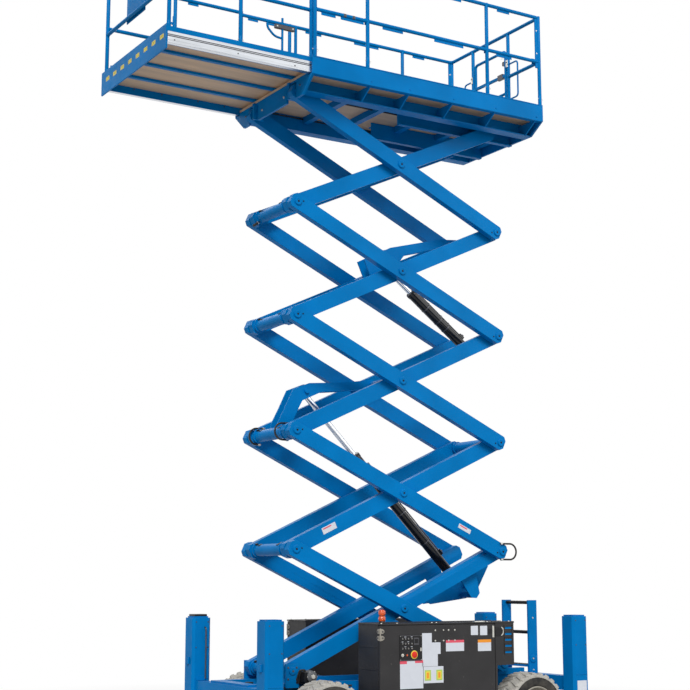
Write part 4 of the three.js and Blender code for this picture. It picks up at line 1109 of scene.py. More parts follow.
@dataclass
class Chassis:
    """The frame, the axles and what hangs from them."""

    wheel_z: float = 340.0
    front_x: float = -1020.0
    rear_x: float = 1270.0
    shaft_y: float = 60.0
    nose_x: float = -1620.0
    tail_x: float = 1690.0

    def build(self) -> None:
        """Dresses the frame and builds the drive line, the lines and the small ironwork."""
        paint_node("chassis_frame", BLUE, 4)
        for name in ("front_axle", "rear_axle", "knuckle_left", "knuckle_right"):
            paint_node(name, DARK, 4)
        self._drive()
        self._ironwork()
        self._hydraulics()
        for side in Side:
            self._hub(side)

    def _drive(self) -> None:
        """Both differentials, the steering cylinder and the shaft between the axles."""
        piece = Piece("drive_line", DARK, ZINC, IRON, frame=shift(z=self.wheel_z))
        y, front, rear = self.shaft_y, self.front_x, self.rear_x
        for x, out in ((front, 1), (rear, -1)):
            piece.turned([(0, -96), (40, -92), (84, -60), (98, -20), (98, 20), (84, 60), (40, 92), (0, 96)],
                         (x, y, 0), ALONG, 32, 2)
            piece.turned([(99, -9), (106, -9), (106, 9), (99, 9)], (x, y, 0), ALONG, coat=2, closed=True)
            for across, up in spread(10, 102):
                piece.bolt((x + 9, y + across, up), ALONG, 6, 1)
            piece.stud((x + out * 80, y, 0), (out * 110, 0, 0), 46, 34, 24, 3, 2)
            piece.stud((x + out * 186, y, 0), (out * 18, 0, 0), 52, 52, 24, 3)
            for _ in piece.both():
                for offset in (-38, 38):
                    piece.bolt((x + offset, 430, 60), UP, 8, 1)
        piece.rod((front + 200, y, 0), (rear - 200, y, 0), 32)
        for x in (front + 230, rear - 230):
            piece.stud((x - 26, y, 0), (52, 0, 0), 40, 40, 16, 5)
        for reach, radius, sides, edge, coat in ((250, 30, 24, 4, 0), (390, 14, 16, 2, 1)):
            piece.stud((front + 108, -reach, -6), (0, 2 * reach, 0), radius, radius, sides, edge, coat)
        for y in (-180, 180):
            piece.block((front + 50, y - 16, -40), (front + 120, y + 16, 28), 4)
        piece.ship("chassis", "axle_black")

    def _ironwork(self) -> None:
        """Tie-down rings, pin block bolts, fork pockets and gussets."""
        piece = Piece("frame_ironwork", BLUE, DARK_ZINC, ZINC)
        for x, out, place in ((self.nose_x, -1, 300), (self.tail_x, 1, 340)):
            for y in (-place, place):
                piece.block((x - 2, y - 34, 500), (x + out * 14, y + 34, 570), 3)
                bow = ((8, -24, 545), (30, -24, 520), (34, 0, 500), (30, 24, 520), (8, 24, 545))
                piece.pipe([(x + out * dx, y + dy, z) for dx, dy, z in bow], 7, 14, coat=2)
        for _ in piece.both():
            piece.turned([(0, 0), (36, 0), (36, 8), (32, 12), (0, 12)], (FIXED_X, 412, BASE_Z), ACROSS)
            piece.stud((FIXED_X, 423, BASE_Z), (0, 9, 0), *HEX_HEAD)
            for dx in (-44, 44):
                for dz in (-72, 30):
                    piece.bolt((FIXED_X + dx, 412, BASE_Z + dz), ACROSS, 8, 1)
            for x in (-1300, -700, 60, 900, 1500):
                piece.plate([(x - 50, 442), (x + 50, 442), (x + 30, 628), (x - 30, 628)], 372, 380)
            for x in (-440, 150, 700):
                for dx in (-24, 24):
                    piece.bolt((x + dx, 430, 640), UP, 8, 1)
            for x in (-260, 480):
                piece.block((x - 90, 300, 452), (x + 90, 312, 520), 3)
        piece.block((self.nose_x - 8, -190, 470), (self.nose_x + 2, 190, 610), 4)
        for y in (-160, -60, 60, 160):
            piece.bolt((self.nose_x - 7, y, 592), (-1, 0, 0), 9, 1)
        piece.ship("chassis", "frame_blue")

    def _hydraulics(self) -> None:
        """The valve block, the pump hoses and the lines at the front of the frame."""
        piece = Piece("frame_hydraulics", IRON, HOSE, ZINC, DARK)
        piece.block((-1430, -250, 452), (-1180, -60, 560), 6)
        for x in (-1400, -1350, -1300, -1250, -1210):
            piece.stud((x, -155, 558), (0, 0, 64), 15, 15, 16, 3, 2)
            piece.stud((x, -155, 600), (0, 0, 36), 10, 10, 6, 1, 3)
            piece.pipe([(x, -250, 510), (x, -290, 512), (x + 40, -304, 470), (x + 160, -304, 466),
                        (-700, -300, 470)], 9, 26, coat=1)
            piece.stud((x, -248, 510), (0, -24, 0), 14, 14, 6, 1, 2)
        piece.block((-1430, 60, 452), (-1230, 250, 600), 10, 3)
        piece.stud((-1330, 155, 598), (0, 0, 28), 40, 40, 24, 5, 3)
        for y in (110, 190):
            piece.pipe([(-1232, y, 520), (-1150, y, 520), (-1080, y, 480), (-700, y + 60, 470)], 11, 40, coat=1)
        for _ in piece.both():
            piece.pipe([(-1500, 392, 600), (-1250, 392, 600), (-700, 392, 600), (-560, 420, 600)], 10, 30, coat=1)
            piece.pipe([(-1500, 392, 570), (-1250, 394, 560), (-760, 392, 560), (-560, 420, 560)], 8, 30, coat=1)
            for x in (-1400, -1050, -800):
                piece.block((x - 12, 371, 545), (x + 12, 406, 618), 3, 2)
            self._pump(piece, -1035)
        piece.ship("chassis")

    def _pump(self, piece: Piece, x: float) -> None:
        """A round pump on its bracket, with two hoses down.

        Args:
            piece: the piece that it joins.
            x: its place along the machine.
        """
        piece.turned([(0, -70), (34, -68), (52, -58), (58, -20), (58, 10), (50, 22), (50, 60), (34, 70), (0, 72)],
                     (x, 452, 700), ACROSS, 28)
        piece.stud((x, 520, 700), (0, 12, 0), 26, 22, 6, 2, 2)
        for along, up in spread(6, 47):
            piece.bolt((x + along, 508, 700 + up), ACROSS, 6, 2)
        piece.block((x - 65, 376, 632), (x + 70, 500, 652), 4, 3)
        piece.block((x - 73, 400, 650), (x - 39, 500, 742), 6, 3)
        for at in (x - 61, x - 43):
            piece.pipe([(at, 450, 742), (at, 450, 758), (at - 30, 440, 758), (at - 44, 424, 702),
                        (at - 44, 414, 640)], 8, 20, coat=1)

    def _hub(self, side: Side) -> None:
        """A steering knuckle's arm pin, its seal and its bolts.

        Args:
            side: the side of the machine.
        """
        piece = Piece(f"knuckle_fittings_{side.word}", DARK, ZINC, frame=shift(self.front_x, 0, self.wheel_z),
                      side=side.value)
        piece.stud((140, 542, -26), (0, 0, 56), 13, 13, 16, 3, 1)
        piece.ring((0, 640, 0), ACROSS, 70, 6)
        for x, z in spread(8, 66, 0.5):
            piece.bolt((x, 657, z), (0, -1, 0), 7, 1)
        piece.ship(f"knuckle_{side.word}", "axle_black")


@dataclass
class SideModules:
    """The two side modules: lids, doors, ground controls and what the doors hide."""

    front_x: float = -530.0
    tail_x: float = 1000.0
    face: float = 860.0
    top: float = 1168.0

    def build(self) -> None:
        """Dresses both modules and builds the controls, the beacon and the inner parts."""
        for name in ("control_module", "engine_module", "control_door", "engine_door"):
            paint_node(name, COVER, 3)
        paint_node("engine_block", IRON, 8)
        modules = (("control", Side.LEFT), ("engine", Side.RIGHT))
        for name, side in modules:
            self._trim(name, side)
        self._ground_controls()
        self._screws_and_plates()
        for fit in (self._hinges, self._latch):
            for name, side in modules:
                fit(name, side)
        self._engine_grilles()
        self._beacon()
        self._control_bay()
        self._engine_bay()

    def _trim(self, name: str, side: Side) -> None:
        """A lid's lip, its edge beads and the louvres at the tail.

        Args:
            name: the module's name.
            side: its side.
        """
        piece = Piece(f"{name}_lid_trim", COVER, BLUE, ZINC, side=side.value)
        front, tail, face, top = self.front_x - 4, self.tail_x + 4, self.face, self.top
        piece.block((front, face - 4, top - 10), (tail, face + 5, top + 3), 2)
        piece.block((front - 2, 492, top - 10), (front + 8, face, top + 3), 2)
        piece.block((front, 490, top - 1), (tail, 500, top + 6), 2)
        for x in (-250, 180, 610, 930):
            for y in (560, 760):
                piece.block((x - 130, y, top - 1), (x + 130, y + 30, top + 4), 2)
        for x in (-500, -330, 60, 110, 700, 960):
            piece.stud((x, 836, top - 1), (0, 0, 10), 8, 7, 12, 2, 2)
        piece.block((540, 826, top - 1), (660, 856, top + 12), 3, 2)
        for z in (1117, 1060, 1006, 949, 890):
            piece.block((896, face - 2, z - 15), (972, face + 1.5, z + 13), 1, 1)
            piece.plate([(face, z + 16), (face + 9, z + 10), (face + 9, z + 5), (face, z + 12)], 884, 984, "X", 0.8)
        for x in (884, 976):
            piece.block((x, face - 2, 862), (x + 8, face + 5, 1142), 1)
        for z in (560, 760, 960):
            piece.block((front - 1, 520, z - 6), (front + 6, 800, z + 6), 2)
        piece.ship("chassis", "cover_black")

    def _ground_controls(self) -> None:
        """The switch panel with its toggles, lamps, key switch and stop button."""
        piece = Piece("ground_controls", PANEL, ZINC, RED, YELLOW, DARK_ZINC, AMBER, WHITE,
                      frame=shift(y=-self.face))
        piece.block((-322, 1, 832), (-72, -4, 1068), 4)
        piece.block((-316, -3, 838), (-90, -5.5, 1060), 2)
        for z in (1059, 839):
            piece.block((-316, -4, z - 3), (-90, -7.5, z + 3), 1, 4)
        for column, x in enumerate((-290, -258, -226, -188)):
            for row, z in enumerate((1034, 990, 946)):
                piece.stud((x, -4, z), (0, -4, 0), 9, 9, 16, 1, 4)
                piece.stud((x, -7, z), (0, -6, -5), 3.5, 4.5, 10, 1, 1)
                if (column + row) % 2:
                    piece.block((x - 10, -5, z + 13), (x + 10, -6.2, z + 17), 0.4, 6)
        piece.block((-165, -5, 975), (-110, -9, 1040), 2, 4)
        piece.block((-158, -8, 990), (-117, -10, 1030), 1, 0)
        piece.stud((-290, -5, 885), (0, -4, 0), 15, 15, 20, 1, 1)
        piece.block((-292, -8, 874), (-288, -14, 896), 1, 1)
        piece.stud((-240, -4, 885), (0, -6, 0), 9, 9, 16, 2, 5)
        piece.stud((-160, -4, 888), (0, -2.5, 0), 38, 38, 32, 1, 3)
        piece.turned([(0, 0), (17, 0), (17, 3), (29, 5), (30, 9), (25, 12), (0, 13)], (-160, -2, 888), (0, -1, 0),
                     coat=2)
        for x in (-312, -82):
            for z in (842, 1056):
                piece.stud((x, -3, z), (0, -4, 0), 4, 4, 10, 0.8, 1)
        piece.block((-96, 1, 918), (-80, -10, 950), 2, 1)
        piece.ship("control_door", "cover_black")

    def _screws_and_plates(self) -> None:
        """The door's eight screws and its blank plates."""
        piece = Piece("control_door_plates", WHITE, PINK, ORANGE, GREEN, YELLOW, ZINC, frame=shift(y=-self.face))
        for x0, x1, z0, z1 in ((-68, 40, 778, 1079), (40, 138, 887, 993), (40, 106, 778, 887),
                               (-315, -60, 584, 836), (-55, 168, 627, 776), (200, 408, 908, 1010),
                               (490, 573, 1051, 1137), (598, 682, 1048, 1135), (570, 726, 901, 1008)):
            piece.block((x0, 1, z0), (x1, -1.6, z1), 0.5, steps=1)
        bands = [(-315, -240, 806, 836, 2.2, 1), (-150, -60, 812, 836, 2.2, 1), (200, 408, 986, 1010, 2.2, 1),
                 (570, 726, 980, 1008, 2.2, 2)]
        for x in (-43, 86):
            bands += [(x, x + 70, 650, 745, 2.2, 3), (x + 12, x + 58, 662, 733, 2.6, 4),
                      (x + 22, x + 46, 672, 722, 3.0, 2)]
        for x0, x1, z0, z1, out, coat in bands:
            piece.block((x0, 0, z0), (x1, -out, z1), 0.3, coat, 1)
        for x in (79, 172, 230, 302):
            for z in (1103, 1008):
                piece.stud((x, 1, z), (0, -6, 0), 9, 8, 16, 1.5, 5)
        piece.ship("control_door", "cover_black")

    def _hinges(self, name: str, side: Side) -> None:
        """A door's two butterfly hinges, one leaf on the door and one on the module.

        Args:
            name: the module's name.
            side: its side.
        """
        leaf = Piece(f"{name}_door_hinge", CREAM, DARK_ZINC, side=side.value)
        base = Piece(f"{name}_hinge_leaf", CREAM, DARK_ZINC, side=side.value)
        face, front = self.face, self.front_x
        lobe = ((0, 8), (24, 10), (38, 24), (34, 42), (16, 52), (0, 54))
        for z in (1072, 520):
            for way in BOTH:
                leaf.plate([(-522 + out, z + way * up) for out, up in lobe], face - 1, face + 4)
                base.plate([(face - 10 - (out + 2 if out else 0), z + way * up) for out, up in lobe],
                           front - 4, front + 1, "X")
            leaf.stud((front + 1, face + 3, z - 56), (0, 0, 112), 7, 7, 24, 1)
            for dz in (-28, 28):
                leaf.stud((-503, face, z + dz), (0, 8, 0), *ROUND_HEAD)
                base.stud((front + 2, face - 30, z + dz), (-10, 0, 0), *ROUND_HEAD)
        leaf.ship(f"{name}_door")
        base.ship("chassis")

    def _latch(self, name: str, side: Side) -> None:
        """A door's edge strip and its paddle latch, with the keeper on the tail.

        Args:
            name: the module's name.
            side: its side.
        """
        frame = shift(y=side.value * self.face)
        piece = Piece(f"{name}_door_latch", ZINC, PANEL, frame=frame, side=side.value)
        piece.block((744, -2, 1026), (764, 3, 1134), 1.5)
        piece.block((700, -2, 1060), (738, 2, 1110), 2, 1)
        piece.ship(f"{name}_door")
        keeper = Piece(f"{name}_latch_keeper", PANEL, ZINC, frame=frame, side=side.value)
        keeper.block((778, -2, 1034), (852, 2, 1122), 3)
        keeper.block((786, 0, 1042), (844, 3, 1114), 2)
        keeper.pipe([(850, 1, 1118), (862, 9, 1108), (868, 9, 1080), (862, 9, 1052), (850, 1, 1042)], 5, 12, coat=1)
        keeper.ship("chassis")

    def _engine_grilles(self) -> None:
        """Louvred panels, a plate and an exhaust on the engine side."""
        piece = Piece("engine_door_louvres", COVER, DARK_ZINC, WHITE, frame=shift(y=self.face))
        z0, z1 = 560, 1000
        for x0, x1 in ((-430, -60), (180, 660)):
            piece.block((x0, -1, z0), (x1, 2, z1), 3)
            for z in range(z0 + 24, z1 - 28, 34):
                piece.plate([(1, z), (11, z + 4), (11, z + 9), (1, z + 24)], x0 + 20, x1 - 20, "X", 0.8)
            for x in (x0 + 10, x1 - 10):
                for z in (z0 + 12, z1 - 12):
                    piece.stud((x, 1, z), (0, 5, 0), 6, 5, 12, 1, 1)
        piece.block((-10, -1, 820), (120, 1.6, 920), 0.5, 2)
        piece.ship("engine_door", "cover_black")
        exhaust = Piece("exhaust_outlet", DARK_ZINC, DARK, frame=shift(930, 700, self.top))
        exhaust.pipe([(0, 0, -2), (0, 0, 34), (48, 0, 60)], 24, 26, 16)
        exhaust.ring((0, 0, 2), UP, 32, 5, 1)
        exhaust.ship("chassis")

    def _beacon(self) -> None:
        """The two-lobed amber beacon on its black base."""
        piece = Piece("beacon_light", AMBER, PANEL, ZINC, frame=shift(-418, -720, self.top))
        piece.turned([(0, 0), (33, 0), (33, 10), (27, 22), (0, 22)], (0, 0, 0.4), UP, coat=1)
        piece.turned([(26, 20), (31, 26), (33.5, 36), (33.5, 52), (30, 62), (26, 68), (26, 72), (30, 78), (33.5, 88),
                      (33.5, 104), (30, 116), (22, 124), (10, 127), (0, 127.5)], (0, 0, 0), UP, 32)
        piece.ring((0, 0, 70), UP, 27, 3, 1)
        for x, y in spread(3, 29):
            piece.stud((x, y, 9), (0, 0, 5), 3, 3, 8, 0, 2)
        piece.ship("chassis", "beacon_orange", ["beacon"])

    def _control_bay(self) -> None:
        """The battery, the oil tank and the valve block behind the left door."""
        piece = Piece("control_bay", PANEL, IRON, ZINC, HOSE, WHITE, RED)
        for low, high, edge, coat in (((-490, -810, 432), (-190, -560, 660), 8, 0),
                                      ((-486, -806, 655), (-194, -564, 680), 5, 4),
                                      ((-120, -800, 760), (70, -620, 960), 5, 2),
                                      ((-490, -790, 800), (-180, -560, 1060), 6, 0)):
            piece.block(low, high, edge, coat)
        piece.block((120, -815, 440), (760, -540, 980), 18, 1, 3)
        for x, coat in ((-440, 5), (-240, 2)):
            piece.stud((x, -700, 678), (0, 0, 26), 11, 9, 16, 2, coat)
        piece.stud((640, -700, 978), (0, 0, 34), 46, 40, 24, 6)
        for x in (-90, -25, 40):
            for z in (800, 860, 920):
                piece.stud((x, -798, z), (0, -26, 0), 13, 11, 12, 2, 0)
            piece.pipe([(x, -700, 760), (x, -700, 700), (x + 30, -700, 520), (x + 120, -700, 500)], 10, 40, coat=3)
        for x in (-440, -360, -280, -210):
            piece.pipe([(x, -640, 802), (x, -640, 740), (x + 20, -600, 700), (x + 90, -540, 690)], 7, 30, coat=3)
        piece.ship("chassis")

    def _engine_bay(self) -> None:
        """The engine's head, filter, belt drive and tank behind the right door."""
        piece = Piece("engine_bay", IRON, DARK, ZINC, HOSE, PANEL)
        piece.block((-60, 560, 908), (420, 750, 990), 12, 1, 3)
        for x in range(-30, 391, 105):
            piece.stud((x, 655, 985), (0, 0, 25), 20, 17, 16, 3, 2)
            piece.stud((x, 798, 740), (0, 24, 0), 17, 17, 6, 2, 2)
        piece.stud((-40, 690, 1060), (370, 0, 0), 72, 72, 32, 12, 4)
        piece.stud((330, 690, 1060), (20, 0, 0), 78, 78, 32, 4, 4)
        piece.pipe([(-40, 690, 1060), (-110, 690, 1040), (-120, 690, 960), (-60, 690, 940)], 30, 50, 16, 3)
        piece.block((-490, 540, 440), (-140, 810, 860), 30, 4, 4)
        piece.stud((-320, 690, 858), (0, 0, 42), 42, 38, 24, 6, 1)
        piece.block((560, 520, 440), (610, 815, 1040), 6, 1)
        for z in range(462, 462 + 22 * 26, 26):
            piece.block((548, 532, z), (562, 803, z + 10), 1, 2, 1)
        piece.turned([(20, -14), (130, -14), (136, -8), (136, 8), (130, 14), (20, 14)], (500, 668, 720), ALONG,
                     coat=4, closed=True)
        for y, z, r in ((668, 720, 60), (740, 560, 46), (590, 560, 40)):
            piece.turned([(10, -12), (r, -12), (r - 8, 0), (r, 12), (10, 12)], (474, y, z), ALONG, coat=2,
                         closed=True)
        piece.rod((-110, 812, 540), (440, 812, 540), 7, sides=12, coat=2)
        piece.ship("chassis", "engine_iron")


@dataclass
class Outrigger:
    """One outrigger: its square housing, its leg and its foot."""

    row: str
    side: Side
    x: float
    y: float = 731.0
    top: float = 1207.0
    low: float = 460.0

    def build(self) -> None:
        """Dresses the housing and the leg and adds their ironwork."""
        name = f"{self.row}_{self.side.word}"
        paint_node(f"outrigger_housing_{name}", BLUE, 3)
        paint_node(f"outrigger_leg_{name}", STEEL, 3)
        self._ironwork(name)
        self._foot(name)

    def _piece(self, name: str, *finishes: Finish) -> Piece:
        """A piece about the leg's own axis, with Y away from the machine."""
        s = self.side.value
        return Piece(name, *finishes, frame=shift(self.x, s * self.y), side=s)

    def _ironwork(self, name: str) -> None:
        """The housing's top, screws, beads, gusset, plate and line.

        Args:
            name: the outrigger's row and side.
        """
        s, out = self.side.value, -1 if self.x < 0 else 1
        piece = self._piece(f"outrigger_ironwork_{name}", BLUE, DARK_ZINC, PANEL, WHITE)
        piece.block((-74, -74, self.top + 6), (74, 74, self.top + 14), 2)
        if out < 0 and s > 0:
            piece.block((-66, -66, self.top + 12), (66, 66, self.top + 34), 6, 2)
        for z in (1168, 930):
            for d in (-62, 62):
                piece.stud((d, -94, z), (0, -5, 0), *SMALL_HEX)
                piece.stud((d, 94, z), (0, 5, 0), *SMALL_HEX)
                piece.stud((out * 94, d, z), (out * 0.8, 0, 0), 8, 8, 12, 0, 1)
        for z0, z1 in ((self.low, self.low + 14), (self.low + 180, self.low + 190)):
            piece.block((-72, -99, z0), (72, -93, z1), 2)
            piece.block((-72, 93, z0), (72, 99, z1), 2)
        if out > 0:
            piece.block((-56, 94, 486), (62, 96.5, 584), 0.6, 3)
        else:
            piece.block((-96, s * -30, 772), (-112, s * 8, 840), 5)
        piece.plate([(-58, 622), (58, 622), (40, 668), (-40, 668)], -94, -102)
        piece.pipe([(30, -92, 1120), (30, -116, 1110), (30, -120, 900), (30, -118, 640)], 7, 18, coat=1)
        piece.ship("chassis", "frame_blue")

    def _foot(self, name: str) -> None:
        """The dished foot with its collar and bolts.

        Args:
            name: the outrigger's row and side.
        """
        foot = self._piece(f"outrigger_foot_{name}", STEEL, DARK_ZINC)
        foot.turned([(44, 78), (60, 70), (70, 40), (96, 24), (130, 22), (138, 16), (139.6, 8), (136, 1), (0, 0.5)],
                    (0, 0, 215), UP, 40)
        foot.ring((0, 0, 300), UP, 47, 5, 1)
        for x, y in spread(4, 112, 0.5):
            foot.bolt((x, y, 238), UP, 8, 1)
        foot.ship(f"leg_{name}", "leg_steel")


@dataclass
class Ladder:
    """The access ladder with its grip sleeves and its bottom tread."""

    x0: float = 1695.0
    depth: float = 110.0
    half: float = 222.0

    def build(self) -> None:
        """Dresses the ladder and adds sleeves, tread bars and brackets."""
        paint_node("ladder", BLUE, 3)
        piece = Piece("ladder_fittings", DARK, ZINC, BLUE)
        x, reach = self.x0 + self.depth / 2, self.half - 24
        for z in (1035, 1335):
            piece.rod((x, -reach, z), (x, reach, z), 16, sides=20)
            for step in range(26):
                piece.ring((x, step * 14.9 - 186, z), ACROSS, 16, 1.6, 0, 16)
        for step in range(6):
            bar = self.x0 + 10 + step * 18
            piece.block((bar - 4, 10 - self.half, 709), (bar + 4, self.half - 10, 716), 1.2)
        for _ in piece.both():
            piece.turned([(0, 0), (40, 0), (40, 8), (34, 11), (14, 11), (12, 7), (0, 7)], (x - 6, 221, 772), ACROSS,
                         coat=2)
            for at, y, z in ((x - 6, 228, 772), (x, 221, 1180), (x, 221, 660)):
                piece.bolt((at, y, z), ACROSS, 8, 1)
            piece.block((self.x0 - 4, 196, 640), (self.x0 + 20, 226, 720), 3, 2)
        piece.ship("chassis", "frame_blue")


def lay_tread(body: str, level: float, span: tuple[float, float], pitch: float, screws: Sequence[float],
              screw_pitch: float, rise: float) -> None:
    """Lays a deck's raised strips and its floor screws.

    Args:
        body: the deck's body.
        level: the height of its floor.
        span: where the strips start and end.
        pitch: how far apart the strips are.
        screws: where along the deck a row of screws stands.
        screw_pitch: how far apart the screws of a row are.
        rise: how high the strips stand.
    """
    tread = Piece(f"{body}_tread", DECK, ZINC, frame=shift(z=level))
    for row in range(-4, 5):
        tread.block((span[0], row * pitch - 3, -1), (span[1], row * pitch + 3, rise), 0.8, 0, 1)
    for x in screws:
        for row in range(-2, 3):
            tread.stud((x, row * screw_pitch, -1), (0, 0, rise + 1.2), 9, 7, 12, 0.8, 1)
    tread.ship(body, "deck_board")


@dataclass
class Platform:
    """The fixed deck: its frame, its floor and the ironwork under it."""

    front_x: float = -1224.0
    rear_x: float = 1566.0

    def build(self) -> None:
        """Dresses the frame and the floor and adds bolts, beads and lines."""
        paint_node("platform_frame", BLUE, 2)
        paint_node("platform_floor", DECK, 1.5)
        piece = Piece("platform_ironwork", BLUE, DARK_ZINC, ZINC, PANEL, frame=shift(z=TOP_Z))
        for y, z, size, coat in ((-240, -1, 11, 2), (205, -1, 11, 2), (-560, 30, 9, 1), (560, 30, 9, 1)):
            piece.bolt((self.front_x, y, z), (-1, 0, 0), size, coat)
        for _ in piece.both():
            piece.block((self.front_x + 6, 799, 243), (self.rear_x - 6, 803, 253), 1.5)
            for x in (-560, -110, 420, 950, 1480):
                piece.bolt((x, 799, 115), ACROSS, 8, 0)
                piece.plate([(x - 30, 87), (x + 30, 87), (x, 135)], 774, 781)
            for x in (-900, -300, 150, 700, 1230):
                piece.bolt((x, 550, -28), UP, 8, 1)
            piece.turned([(0, 0), (33, 0), (33, 8), (28, 12), (0, 12)], (FIXED_X, 340, 0), (0, -1, 0))
            piece.stud((FIXED_X, 329, 0), (0, -7, 0), *HEX_HEAD)
            for y in (470, 560, 700):
                for z in (40, 190):
                    piece.bolt((self.rear_x - 1, y, z), ALONG, 9, 1)
            piece.pipe([(-1090, 481, 88), (1300, 481, 88)], 7, coat=3)
        piece.block((1180, -160, 62), (1420, 160, 98), 5, 3)
        piece.pipe([(1190, -100, 70), (900, -120, 86), (200, -150, 90), (-500, -160, 88)], 9, 60, coat=3)
        piece.ship("platform", "frame_blue")
        lay_tread("platform", FLOOR_Z, (self.front_x + 90, self.rear_x - 40), 155, (-1000, -300, 400, 1100, 1500),
                  330, 2.4)


@dataclass
class RailKit:
    """The round-tube work that both guardrails share, with heights from the floor."""

    radius: float = 20.0
    top: float = 1085.0
    middle: float = 595.0

    def post(self, piece: Piece, x: float, y: float, foot: float, top: float) -> None:
        """A post with its socket, cross pin and cap.

        Args:
            piece: the piece that it joins.
            x: its place along the machine.
            y: its place across the machine.
            foot: the height of its foot.
            top: the height of its top.
        """
        r, s = self.radius, 1 if y > 0 else -1
        piece.rod((x, y, foot), (x, y, top), r - 1, r - 1, 20, 2)
        piece.stud((x, y, foot), (0, 0, 105), r - 0.4, r - 0.4, 20, 2)
        piece.stud((x, y, foot + 96), (0, 0, 8), r - 0.1, r - 0.1, 20, 1.5)
        piece.stud((x - 27, y, foot + 70), (54, 0, 0), 5.5, 5.5, 12, 1.5, 1)
        piece.ring((x + 29, y, foot + 62), ACROSS, 9, 1.8, 1, 16)
        piece.block((x - 15, y - s * 19, foot - 1), (x + 15, y - s * 44, foot + 6), 1.5)

    def tube(self, piece: Piece, points: Sequence[Point], bend: float = 0.0) -> None:
        """A rail tube with a weld bead at each end.

        Args:
            piece: the piece that it joins.
            points: the corners of its path.
            bend: how far from each corner a bend starts.
        """
        piece.pipe(points, self.radius - 1, bend, 20)
        for end, inward in ((points[0], points[1]), (points[-1], points[-2])):
            along = (Vector(inward) - Vector(end)).normalized()
            piece.ring(Vector(end) + along * (self.radius - 2), along, self.radius - 1, 2, sides=20)


@dataclass
class PlatformRails(RailKit):
    """The platform's guardrail, its gate posts and their clamps."""

    y: float = 780.0
    posts: tuple[float, ...] = (-1190.0, -595.0, 860.0)
    end_x: float = 1546.0
    foot: float = 120.3

    def build(self) -> None:
        """Builds both halves in place of the plain tubes."""
        for side, end_post, rail_end in ((Side.LEFT, 262.0, -351.7), (Side.RIGHT, 372.0, 372.0)):
            piece = Piece(f"platform_rails_{side.word}", BLUE, ZINC, DARK_ZINC, frame=shift(z=FLOOR_Z),
                          side=side.value)
            for z, stop in ((self.top, rail_end), (self.middle, end_post)):
                self.tube(piece, [(self.posts[0], self.y, z), (self.end_x, self.y, z), (self.end_x, stop, z)], 46)
            for x in (*self.posts, self.end_x):
                self.post(piece, x, self.y, self.foot, self.top + 16)
            self.post(piece, self.end_x, end_post, self.foot, self.top)
            self._fold_joints(piece, side)
            piece.ship("platform", "frame_blue", [f"guardrail_{side.word}"])
        self._handles()

    def _fold_joints(self, piece: Piece, side: Side) -> None:
        """Fold brackets, notched strips under the top rail, and black clamps.

        Args:
            piece: the guardrail's piece.
            side: its side.
        """
        y, middle, top, end_x = self.y, self.middle, self.top, self.end_x
        for x in (*self.posts[1:], end_x - 60):
            piece.block((x - 22, y - 24, middle - 34), (x + 22, y - 17, middle + 34), 2)
            for z in (middle + 20, middle - 20):
                piece.bolt((x, y - 23, z), (0, -1, 0), 7, 1)
        for start, end in ((-1120, -960), (-900, -640), (-420, -180), (200, 560), (980, 1180)):
            piece.block((start, y - 3, middle - 46), (end, y + 3, middle - 14), 1)
            piece.block((start + 20, y - 3, top - 44), (end - 20, y + 3, top - 14), 1)
        places, clamp = ((-860, -760), 19.9) if side is Side.LEFT else ((300, 420), 24)
        for x in places:
            piece.stud((x - 16, y, middle), (32, 0, 0), clamp, clamp, 20, 3, 2)
            piece.block((x - 14, y - 52, middle - 16), (x + 14, y - 18, middle + 16), 3, 2)
        piece.block((end_x - 50, y - 7, middle - 70), (end_x - 17, y + 7, top - 12), 3)
        for z in (middle + 90, top - 150):
            for way in BOTH:
                piece.bolt((end_x - 34, y + way * 6, z), (0, way, 0), 7, 1)

    def _handles(self) -> None:
        """The entry's U-shaped grab handles and the gate latch keeper."""
        piece = Piece("entry_handles", BLUE, ZINC, DARK_ZINC, frame=shift(self.end_x, 0, FLOOR_Z))
        for y, out in ((-262.0, -1), (372.0, 1)):
            near, far = y + out * 16, y + out * 158
            piece.pipe([(0, near, 734), (0, far, 734), (0, far, 336), (0, near, 336)], 9, 40, 14)
            piece.block((-26, y - 14, 700), (-18, y + 14, 780), 2, 1)
            piece.bolt((-25, y, 755), (-1, 0, 0), 7, 2)
        piece.ship("platform", "frame_blue")


@dataclass
class EntryGate:
    """The swinging entry gate with its latch and hinges."""

    x: float = 1546.0
    near: float = -214.0
    far: float = 324.0
    tube_radius: float = 15.4
    low: float = 140.0
    band: float = 420.0
    high: float = 900.0

    def build(self) -> None:
        """Builds the gate in place of the plain one."""
        piece = Piece("entry_gate_frame", BLUE, ZINC, DARK_ZINC, frame=shift(self.x, 0, FLOOR_Z))
        near, far, low, r = self.near, self.far, self.low, self.tube_radius
        piece.pipe([(0, near, low + 60), (0, near, self.high), (0, far, self.high), (0, far, low), (0, near, low),
                    (0, near, low + 62)], r, 40, 20)
        piece.pipe([(0, near, self.band), (0, far, self.band)], r, 0, 20)
        for y in (near + 180, far - 180):
            piece.rod((0, y, low), (0, y, self.band), 8, sides=14)
        for z in (240, 800):
            piece.stud((0, far + 6, z - 30), (0, 0, 60), 9.5, 9.5, 16, 2, 2)
            piece.ring((0, far + 2, z), UP, 12, 2.5, 1, 16)
        piece.block((-13, near + 4, 611), (13, far - 4, 642), 4)
        piece.block((-16, near + 40, 596), (16, near + 130, 657), 4, 2)
        piece.block((-14, near - 10, 742), (14, near + 46, 788), 3, 2)
        piece.pipe([(-12, near + 30, 784), (-12, near + 40, 826), (-12, near + 66, 830)], 4.5, 12, coat=1)
        piece.ship("gate", "frame_blue", ["entry_gate"])


